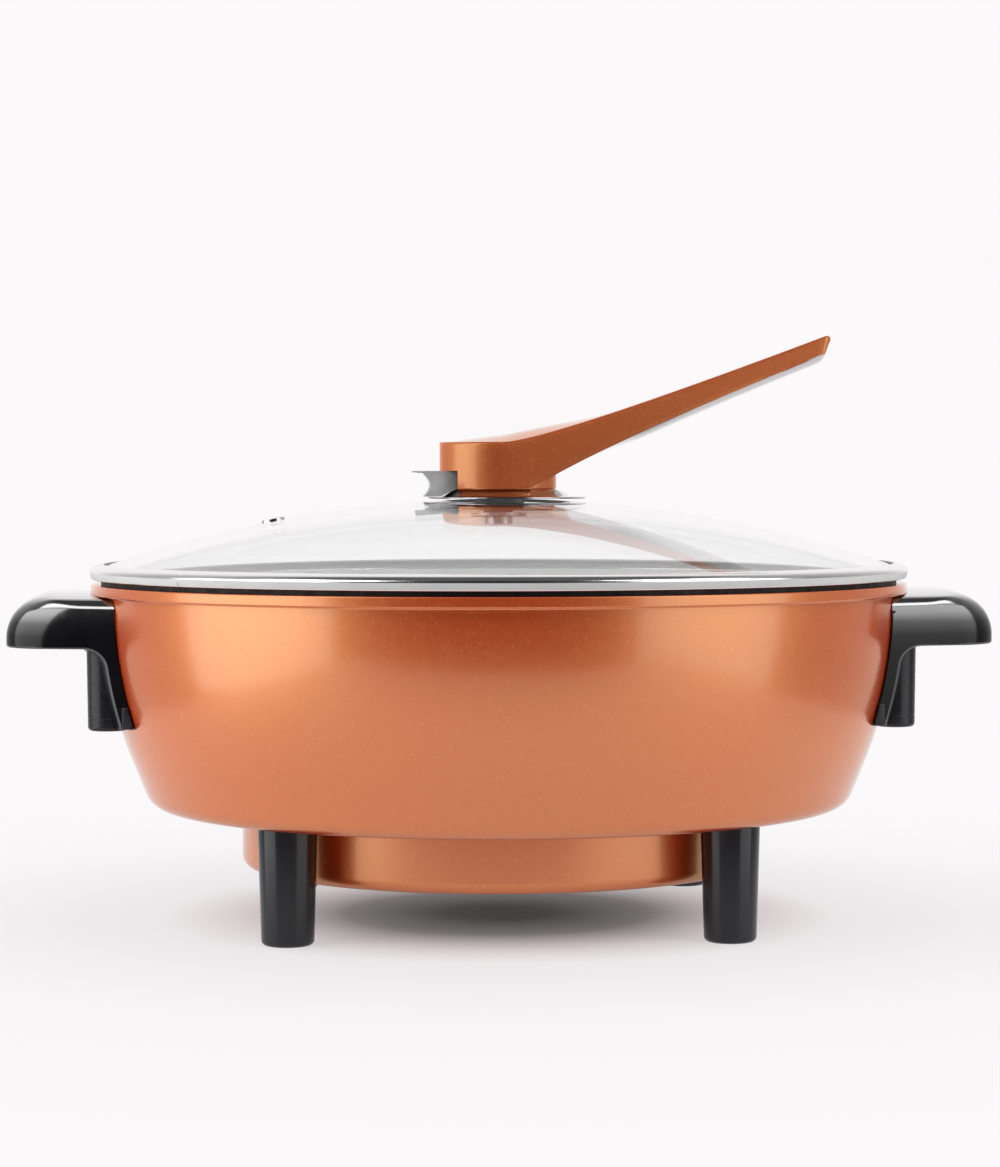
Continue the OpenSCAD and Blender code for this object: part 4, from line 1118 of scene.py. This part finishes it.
def floor_material():
    mat = bpy.data.materials.new("floor")
    mat.use_nodes = True
    tree = mat.node_tree
    tree.nodes.clear()
    out = tree.nodes.new("ShaderNodeOutputMaterial")
    matte = tree.nodes.new("ShaderNodeBsdfDiffuse")
    matte.inputs["Color"].default_value = (*MATTE, 1.0)
    glow = tree.nodes.new("ShaderNodeEmission")
    glow.inputs["Color"].default_value = (*WHITE, 1.0)
    glow.inputs["Strength"].default_value = 1.0
    coord = tree.nodes.new("ShaderNodeTexCoord")
    length = tree.nodes.new("ShaderNodeVectorMath")
    length.operation = "LENGTH"
    tree.links.new(coord.outputs["Object"], length.inputs[0])
    reach = map_range(tree, length.outputs["Value"], GLOW_FROM, GLOW_FULL)
    far = ramp(tree, reach, greys(GLOW_STOPS))
    path = tree.nodes.new("ShaderNodeLightPath")
    mirrored = calculate(tree, "MULTIPLY", path.outputs["Is Glossy Ray"], MIRRORED_GLOW)
    seen = calculate(tree, "MAXIMUM", seen_directly(tree, path), mirrored)
    mix = tree.nodes.new("ShaderNodeMixShader")
    tree.links.new(calculate(tree, "MULTIPLY", far, seen), mix.inputs["Fac"])
    tree.links.new(matte.outputs["BSDF"], mix.inputs[1])
    tree.links.new(glow.outputs["Emission"], mix.inputs[2])
    tree.links.new(mix.outputs["Shader"], out.inputs["Surface"])
    return mat


table = [
    (-TABLE_X, TABLE_FRONT, 0.0), (TABLE_X, TABLE_FRONT, 0.0), (TABLE_X, TABLE_BACK, 0.0),
    (-TABLE_X, TABLE_BACK, 0.0),
]
floor = build("floor", table, [(0, 1, 2, 3)], outward=False)
paint(floor, floor_material())

# World: a white backdrop, dim walls and a dark side behind the camera, at angles in degrees
WALL_GREYS = ((42, 0.62), (65, 0.42), (90, 0.26), (125, 0.10), (150, 0.035), (180, 0.02))
WHITE_TO = 24
CEILING = (0.10, 0.10, 0.10)
CEILING_FROM = 0.74
CEILING_FULL = 0.90


def studio_world():
    world = bpy.data.worlds.new("studio")
    world.use_nodes = True
    tree = world.node_tree
    back = tree.nodes["Background"]
    coord = tree.nodes.new("ShaderNodeTexCoord")
    direction = split_xyz(tree, coord.outputs["Generated"])
    turn = calculate(tree, "ARCTAN2", calculate(tree, "ABSOLUTE", direction["X"]), direction["Y"])
    stops = [(0.0, WHITE), (WHITE_TO / 180, WHITE)] + greys((a / 180, grey) for a, grey in WALL_GREYS)
    walls = ramp(tree, calculate(tree, "DIVIDE", turn, math.pi), stops)
    height = map_range(tree, direction["Z"], CEILING_FROM, CEILING_FULL, kind="SMOOTHSTEP")
    room = mix_colours(tree, height, walls, (*CEILING, 1.0))
    seen = seen_directly(tree, tree.nodes.new("ShaderNodeLightPath"))
    tree.links.new(mix_colours(tree, seen, room, (*WHITE, 1.0)), back.inputs["Color"])
    back.inputs["Strength"].default_value = 1.0
    return world


bpy.context.scene.world = studio_world()

# Lamps, all turned to one point: name, place, size and power
LOOK_AT = (0.0, 0.0, 0.1)
LAMPS = (
    ("left_softbox", (-1.427, -0.464, 0.25), (1.4, 1.3), 11.2),
    ("right_softbox", (1.25, -0.83, 0.25), (1.25, 1.3), 7.3),
    ("upper_left_panel", (-1.13, -0.74, 1.2), (1.0, 0.5), 5.6),
    ("upper_right_panel", (1.02, -0.78, 1.2), (1.0, 0.5), 5.6),
)
for name, at, size, power in LAMPS:
    data = bpy.data.lights.new(name, "AREA")
    data.shape = "RECTANGLE"
    data.size, data.size_y = size
    data.energy = power
    lamp = bpy.data.objects.new(name, data)
    lamp.location = at
    lamp.rotation_euler = (Vector(LOOK_AT) - Vector(at)).to_track_quat("-Z", "Y").to_euler()
    lamp.visible_camera = False
    bpy.context.scene.collection.objects.link(lamp)

# Camera as fitted to the photo: distances in metres, angles in degrees
DISTANCE, HEIGHT = 1.23566, 0.17173
TURN, YAW, PITCH, ROLL = 2.72, 0.024, 1.928, 0.096
SENSOR, LENS = 36.0, 96.76
camera_data = bpy.data.cameras.new("camera")
camera_data.sensor_fit = "VERTICAL"
camera_data.sensor_height = SENSOR
camera_data.lens = LENS
camera_data.clip_start = 0.01
camera_data.clip_end = 100.0
camera = bpy.data.objects.new("camera", camera_data)
t = math.radians(TURN)
camera.matrix_world = (
    Matrix.Translation((-DISTANCE * math.sin(t), -DISTANCE * math.cos(t), HEIGHT))
    @ Matrix.Rotation(-math.radians(TURN + YAW), 4, "Z")
    @ Matrix.Rotation(math.radians(90.0 - PITCH), 4, "X")
    @ Matrix.Rotation(-math.radians(ROLL), 4, "Z")
)
bpy.context.scene.collection.objects.link(camera)
bpy.context.scene.camera = camera
bpy.context.scene.view_settings.view_transform = "Standard"
